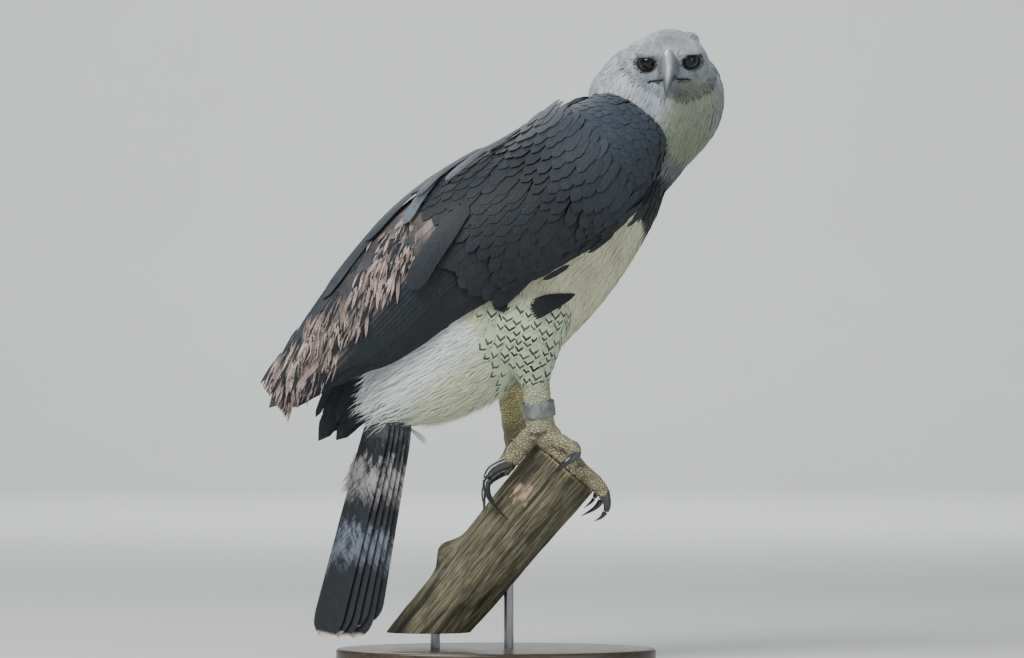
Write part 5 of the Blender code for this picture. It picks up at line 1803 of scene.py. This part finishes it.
def horn_finish(name, base, tip, rough, coat_weight):
    f = Finish(name, roughness=rough, coat_weight=coat_weight, coat_roughness=0.15)
    place = f.object_place()
    share = f.attribute("Col").outputs["Color"]
    level = f.parts(share)[0]
    grain = f.noise(f.stretched(place, (1.0, 1.0, 0.35)), 300.0, 5.0)
    flecks = f.noise(place, 1200.0, 2.0)
    colour = f.mix(level, base, tip)
    colour = f.mix(f.parts(share)[1], colour, HORN_BLACK)
    colour = f.mix(f.fit(grain, 0.45, 0.75, 0.0, 0.45), colour, tuple(c * 0.45 for c in base))
    colour = f.mix(f.fit(flecks, 0.62, 0.75, 0.0, 0.25), colour, tuple(min(c * 2.2, 1.0) for c in base))
    height = f.plus(grain, f.times(flecks, 0.3))
    return f.finish(colour, f.fit(grain, 0.3, 0.7, rough * 0.8, rough * 1.4), f.bump(height, 0.35, 0.0004))


def levelled(obj, level):
    """A point colour: its red is how far a place is towards the tip, its green how black it is."""
    layer = obj.data.attributes.new("Col", "FLOAT_COLOR", "POINT")
    for vert in obj.data.vertices:
        layer.data[vert.index].color = (*level(vert.co), 0.0, 1.0)
    return obj


bill_finish = horn_finish("bill_horn_finish", (0.42, 0.45, 0.47), (0.045, 0.052, 0.060), 0.32, 0.35)
claw_finish = horn_finish("claw_horn_finish", (0.045, 0.050, 0.055), (0.010, 0.011, 0.012), 0.22, 0.6)


def bill_bend(height):
    """How far the bill leans to one side towards its tip."""
    return BILL_BEND * ease(-height, -0.004, 0.040)


def upper_bill():
    bm = bill_form(UPPER_BILL, 64, 80)
    for vert in bm.verts:
        for side in (-1.0, 1.0):
            slot_place = vert.co - Vector((NOSTRIL.x, side * NOSTRIL.y, NOSTRIL.z))
            depth = math.exp(-((slot_place.x / 0.0024) ** 2) - (slot_place.z / 0.0040) ** 2)
            vert.co.y -= side * 0.0030 * depth * (1.0 if vert.co.y * side > 0 else 0.0)
        vert.co.y -= bill_bend(vert.co.z)
    return moved(bm, HEAD)


def bill_level(point):
    h = HEAD_BACK_TURN @ point
    black = 0.0
    for side in (-1.0, 1.0):
        away = h - Vector((NOSTRIL.x, side * NOSTRIL.y, NOSTRIL.z))
        black += math.exp(-((away.x / 0.0030) ** 2) - (away.z / 0.0046) ** 2 - (away.y / 0.006) ** 2)
    # Painted shade on the bill's sides, which leaves its ridge as a painted highlight.
    side_shade = 0.62 * ease(abs(h.y + bill_bend(h.z)), 0.0020, 0.0052)
    level = min(0.85 * ease(-h.z, 0.004, 0.030) + side_shade + 0.35 * ease(0.050 - h.x, 0.0, 0.01), 1.0)
    return level, ease(black, 0.35, 0.65)


bill_upper = levelled(piece_from("bill_upper_horn", [upper_bill()], bill_finish), bill_level)
wear(bill_upper, "bill_upper", slot="bill_horn")
bill_lower = levelled(
    piece_from("bill_lower_horn", [moved(bill_form(LOWER_BILL, 36, 30), HEAD)], bill_finish), bill_level
)
wear(bill_lower, "bill_lower", slot="bill_horn")


def eye_finish():
    f = Finish("eye_wet", roughness=0.06, coat_weight=0.35, coat_roughness=0.02, specular_ior_level=0.25)
    place = f.object_place()
    level = f.parts(f.attribute("Col").outputs["Color"])[0]
    rays = f.noise(place, 900.0, 4.0)
    iris = f.mix(f.fit(rays, 0.3, 0.7), (0.006, 0.004, 0.003), (0.018, 0.011, 0.006))
    colour = f.mix(f.fit(level, 0.42, 0.50), (0.003, 0.003, 0.003), iris)
    colour = f.mix(f.fit(level, 0.86, 0.94), colour, (0.010, 0.009, 0.008))
    return f.finish(colour)


eye_wet = eye_finish()
for name, side in SIDES.items():
    ball = ellipsoid(eye_centre(side), [EYE_RADIUS * 0.985] * 3, 48, 32)
    eye = piece_from(f"eyeball_{name}", [moved(ball, HEAD)], eye_wet)

    def iris_level(point, side=side):
        away = (HEAD_BACK_TURN @ point) - eye_centre(side)
        return min(away.normalized().angle(eye_axis(side)), 1.0), 0.0

    wear(levelled(eye, iris_level), f"eye_{name}", slot="eye")

for name in SIDES:
    for toe_name, toe in TOES[name].items():
        points = [Vector(p) for p in (toe["path"][-1], *toe["claw"])]
        points[0] = points[0] - (points[1] - points[0]).normalized() * 0.004
        width = toe["claw_radius"]

        def claw_radius(share, turn, width=width):
            keel = 1.0 + 0.10 * max(math.sin(turn), 0.0) ** 4
            return width * (1.0 - 0.95 * share**1.15) * keel

        claw = piece_from(f"talon_{name}_{toe_name}",
                          [tube_form(points, claw_radius, 28, 36, frame_of=branch_point)], claw_finish)
        root_place = branch_point(points[0])
        reach = (branch_point(points[-1]) - root_place).length

        def claw_level(point, root_place=root_place, reach=reach):
            return ease((point - root_place).length / reach, 0.1, 0.8), 0.0

        wear(levelled(claw, claw_level), f"claw_{name}_{toe_name}", slot="claw_horn")


# The leg band.
def band_finish():
    f = Finish("dull_band_metal", roughness=0.42, metallic=0.85)
    place = f.object_place()
    scratches = f.noise(f.stretched(place, (1.0, 1.0, 6.0)), 400.0, 4.0)
    stains = f.noise(place, 130.0, 4.0)
    colour = f.mix(f.fit(stains, 0.35, 0.7), (0.30, 0.33, 0.31), (0.17, 0.19, 0.18))
    colour = f.mix(f.fit(scratches, 0.6, 0.75, 0.0, 0.5), colour, (0.60, 0.62, 0.60))
    return f.finish(colour, f.fit(scratches, 0.3, 0.7, 0.32, 0.6), f.bump(scratches, 0.3, 0.0003))


def band_form():
    leg = LEGS["right"]
    along = (leg["ankle"] - leg["shin_top"]).normalized()
    centre = leg["shin_top"].lerp(leg["ankle"], BAND_SHARE)
    inner = ANKLE_RADIUS + 0.0008
    half = BAND_WIDTH / 2
    bm = bmesh.new()
    bmesh.ops.create_grid(bm, x_segments=1, y_segments=1, size=0.5)
    bmesh.ops.scale(bm, vec=(BAND_WALL, BAND_WIDTH, 1.0), verts=bm.verts[:])
    bmesh.ops.rotate(bm, verts=bm.verts[:], matrix=Matrix.Rotation(math.pi / 2, 3, "X"))
    bmesh.ops.translate(bm, verts=bm.verts[:], vec=(inner + BAND_WALL / 2, 0.0, 0.0))
    bmesh.ops.bevel(bm, geom=bm.verts[:], offset=0.0004, affect="VERTICES", segments=3, profile=0.5,
                    material=-1)
    bmesh.ops.delete(bm, geom=bm.faces[:], context="FACES_ONLY")
    bmesh.ops.spin(bm, geom=bm.verts[:] + bm.edges[:], cent=(0, 0, 0), axis=(0, 0, 1),
                   angle=2 * math.pi, steps=72, use_merge=True)
    bmesh.ops.remove_doubles(bm, verts=bm.verts[:], dist=1e-6)
    turn = along.to_track_quat("Z", "Y").to_matrix().to_4x4()
    return outward(moved(bm, BIRD @ Matrix.Translation(centre) @ turn))


band = piece_from("ring_band", [band_form()], band_finish())
band.data.set_sharp_from_angle(angle=math.radians(35))
wear(band, "leg_band", slot="band_metal")


# The branch.
LOG_SIDES = 190
LOG_RINGS = 190
FACE_RINGS = 22
FACE_DOME = 0.0016


def log_place(row, turn):
    """A point of the weathered log: rings on the sawn face first, then down its side to the level cut."""
    around = Vector((math.cos(turn), math.sin(turn)))
    uneven = 0.020 * noise.noise(Vector((around.x * 2, around.y * 2, 9.0)))
    if row <= FACE_RINGS:
        inner = row / FACE_RINGS
        rough = noise.noise(Vector((around.x * inner * 6, around.y * inner * 6, 2.0)))
        radius = BRANCH_TOP_RADIUS * inner * (1.0 + uneven)
        down = -FACE_DOME * inner**10 + 0.0008 * rough
    else:
        share = min((row - FACE_RINGS) / (LOG_RINGS - FACE_RINGS - 1), 1.0)
        down = -FACE_DOME - (BRANCH_LENGTH - FACE_DOME) * share
        radius = BRANCH_TOP_RADIUS + (BRANCH_LOW_RADIUS - BRANCH_TOP_RADIUS) * share
        radius *= 1.0 + 0.018 * math.sin(3 * turn + 9 * share) * min(share * 6, 1.0)
        radius *= 1.0 + 0.012 * math.sin(5 * turn - 14 * share) * min(share * 6, 1.0)
        radius *= 1.0 + uneven * (1.0 - min(share * 6, 1.0))
        fibre = noise.noise(Vector((around.x * 7.0, around.y * 7.0, down * 9.0)))
        split = abs(noise.noise(Vector((around.x * 4.0 + 5.0, around.y * 4.0, down * 4.0))))
        cracks = max(0.0, 0.30 - split * 4.0)
        fine = noise.noise(Vector((around.x * 26.0, around.y * 26.0, down * 30.0)))
        radius += 0.0011 * fibre - 0.0050 * cracks + 0.0005 * fine
        knot = math.exp(-(((down - KNOT_PLACE.x) / 0.020) ** 2) - (turn - 0.05) ** 2 / 0.10)
        radius += 0.0125 * knot * (1.0 + 0.5 * fibre)
    if row in (0, LOG_RINGS):
        radius = 0.0
    point = branch_point((down, radius * around.x, radius * around.y))
    if point.z < BRANCH_FOOT:
        point += U * ((BRANCH_FOOT - point.z) / U.z)
    return point


SCRAPES = (
    # middle, radius and colour of the bare patches
    ((0.010, -0.040, 0.216), 0.020, (0.52, 0.34, 0.23)),
    ((-0.010, -0.030, 0.232), 0.012, (0.36, 0.10, 0.04)),
)


def wood_finish():
    f = Finish("weathered_branch", roughness=0.88)
    place = f.object_place()
    # The fibres run along the branch, which leans in the plane of the picture.
    turned_place = f.stretched(place, (1.0, 1.0, 1.0), (0.0, BRANCH_TILT - math.pi / 2, 0.0))
    fibre_place = f.stretched(turned_place, (1.0, 1.0, 0.07))
    fibre = f.noise(fibre_place, 420.0, 5.0, 0.65)
    strips = f.noise(fibre_place, 90.0, 3.0, 0.6, 0.4)
    ragged = f.noise(f.stretched(turned_place, (1.0, 1.0, 0.35)), 150.0, 3.0, 0.6)
    blotch = f.noise(place, 22.0, 4.0, 0.6)
    moss = f.noise(place, 48.0, 5.0, 0.7)
    colour = f.mix(f.fit(fibre, 0.35, 0.65), (0.040, 0.037, 0.020), (0.210, 0.185, 0.120))
    colour = f.mix(f.fit(strips, 0.48, 0.64, 0.0, 0.90), colour, (0.014, 0.012, 0.007))
    colour = f.mix(f.fit(blotch, 0.55, 0.72, 0.0, 0.30), colour, (0.24, 0.23, 0.19))
    colour = f.mix(f.fit(moss, 0.50, 0.68, 0.0, 0.6), colour, (0.052, 0.070, 0.022))
    # Pale bare wood on the sawn face, fading a few millimetres down the bark as a painted highlight on the
    # cut edge, and scraped patches below the foot.
    down = f.minus(f.measure("DOT_PRODUCT", place, U), FACE_CENTRE.dot(U))
    # Bare wood on the face, then a painted highlight on the cut edge.
    rim = f.times(f.fit(down, -0.006, -0.001), f.fit(fibre, 0.3, 0.6))
    colour = f.mix(rim, colour, (0.30, 0.25, 0.16))
    for spot, reach, tone in SCRAPES:
        away = f.measure("DISTANCE", place, Vector(spot) + SHIFT)
        away = f.plus(away, f.fit(ragged, 0.25, 0.75, -0.007, 0.007))
        amount = f.fit(away, reach * 0.55, reach * 0.75, 1.0, 0.0)
        amount = f.times(amount, f.fit(fibre, 0.40, 0.56, 0.15, 1.0))
        colour = f.mix(amount, colour, tone)
    height = f.plus(f.times(fibre, 0.8), f.times(strips, -0.9))
    return f.finish(colour, f.fit(fibre, 0.3, 0.7, 0.75, 0.95), f.bump(height, 0.9, 0.0016))


log_form = drawn_form(LOG_SIDES, LOG_RINGS, log_place)
perch = piece_from("perch_log", [log_form], wood_finish())
wear(perch, "perch_branch", slot="branch_wood")


# The stand.
def board_finish():
    f = Finish("stained_board", roughness=0.34, coat_weight=0.25, coat_roughness=0.25)
    place = f.stretched(f.object_place(), (0.16, 1.0, 1.0))
    grain = f.noise(place, 170.0, 5.0, 0.6, 0.6)
    bands = f.noise(place, 32.0, 2.0, 0.5, 1.2)
    colour = f.mix(f.fit(grain, 0.3, 0.7), (0.030, 0.019, 0.012), (0.085, 0.055, 0.034))
    colour = f.mix(f.fit(bands, 0.4, 0.7, 0.0, 0.6), colour, (0.022, 0.014, 0.009))
    return f.finish(colour, f.fit(grain, 0.3, 0.7, 0.28, 0.42), f.bump(grain, 0.25, 0.0004))


def steel_finish():
    f = Finish("brushed_rod", roughness=0.30, metallic=1.0)
    place = f.stretched(f.object_place(), (1.0, 1.0, 0.03))
    brushed = f.noise(place, 1400.0, 3.0)
    colour = f.mix(f.fit(brushed, 0.3, 0.7), (0.30, 0.30, 0.31), (0.42, 0.42, 0.43))
    return f.finish(colour, f.fit(brushed, 0.3, 0.7, 0.24, 0.40), f.bump(brushed, 0.15, 0.0002))


def board_form():
    bm = bmesh.new()
    bmesh.ops.create_cone(bm, cap_ends=True, cap_tris=False, segments=144, radius1=1.0, radius2=1.0,
                          depth=BASE_HEIGHT)
    bmesh.ops.scale(bm, vec=(BASE_HALF_LENGTH, BASE_HALF_WIDTH, 1.0), verts=bm.verts[:])
    place = BASE_CENTRE + SHIFT + Vector((0.0, 0.0, BASE_HEIGHT / 2))
    bmesh.ops.translate(bm, vec=place, verts=bm.verts[:])
    rim = [e for e in bm.edges if all(v.co.z > BASE_HEIGHT * 0.9 for v in e.verts)]
    bmesh.ops.bevel(bm, geom=rim, offset=0.004, affect="EDGES", segments=6, profile=0.5, material=-1)
    return bm


board = piece_from("display_board", [board_form()], board_finish())
board.data.set_sharp_from_angle(angle=math.radians(30))
wear(board, "stand_base", slot="stand_board")
steel = steel_finish()
for number in (1, 2):
    rod = bpy.data.objects[f"stand_rod_{number}"]
    for place in range(len(rod.material_slots)):
        rod.material_slots[place].material = steel


# Floor, light and camera.
FLOOR_HALF_WIDTH = 11.0
FLOOR_FRONT = -9.0
WALL_FOOT = 8.0
WALL_BACK, WALL_HEIGHT = 2.6, 4.5
CURVE = 3.0
CAMERA_PLACE = Vector((0.0, -7.1, 0.419))
CAMERA_LENS = 199.7


def studio():
    """A floor that curves up into a wall behind the bird."""
    flat = WALL_FOOT - FLOOR_FRONT
    floor = bmesh.new()
    bmesh.ops.create_grid(floor, x_segments=2, y_segments=60, size=1.0)
    for vert in floor.verts:
        run = (vert.co.y + 1.0) / 2 * (flat + CURVE)
        x = vert.co.x * FLOOR_HALF_WIDTH
        if run < flat:
            vert.co = (x, FLOOR_FRONT + run, 0.0)
        else:
            bend = (run - flat) / CURVE * math.pi / 2
            vert.co = (x, WALL_FOOT + WALL_BACK * math.sin(bend), WALL_HEIGHT * (1.0 - math.cos(bend)))
    made = piece_from("studio_floor", [floor], None)
    f = Finish("pale_paper", roughness=0.9)
    tone = f.noise(f.object_place(), 3.0)
    made.data.materials.append(f.finish(f.mix(tone, (0.62, 0.63, 0.62), (0.66, 0.67, 0.66))))


def area_light(name, place, target, size, power, colour):
    data = bpy.data.lights.new(name, "AREA")
    data.shape = "DISK"
    data.size = size
    data.energy = power
    data.color = colour
    light = placed(name, data)
    light.location = place
    light.rotation_euler = (Vector(target) - Vector(place)).to_track_quat("-Z", "Y").to_euler()


studio()
area_light("key", (-1.5, -2.2, 2.9), (0.0, 0.0, 0.45), 2.2, 150.0, (1.0, 0.985, 0.96))
area_light("fill", (2.6, -2.6, 1.0), (0.0, 0.0, 0.45), 2.2, 20.0, (0.93, 0.97, 1.0))
area_light("rim", (-1.0, 2.2, 2.8), (0.0, 0.0, 0.5), 1.6, 45.0, (1.0, 1.0, 1.0))
area_light("wall", (0.0, 4.6, 4.2), (0.0, 9.5, 1.2), 3.0, 330.0, (1.0, 1.0, 1.0))
world = bpy.data.worlds.new("studio_world")
world.use_nodes = True
world.node_tree.nodes["Background"].inputs["Color"].default_value = (0.82, 0.87, 0.92, 1.0)
world.node_tree.nodes["Background"].inputs["Strength"].default_value = 0.40
bpy.context.scene.world = world

camera_data = bpy.data.cameras.new("camera")
camera_data.sensor_width = 36.0
camera_data.lens = CAMERA_LENS
camera_data.clip_end = 50.0
camera = placed("camera", camera_data)
camera.location = CAMERA_PLACE + SHIFT
camera.rotation_euler = (math.pi / 2, 0.0, 0.0)
bpy.context.scene.camera = camera
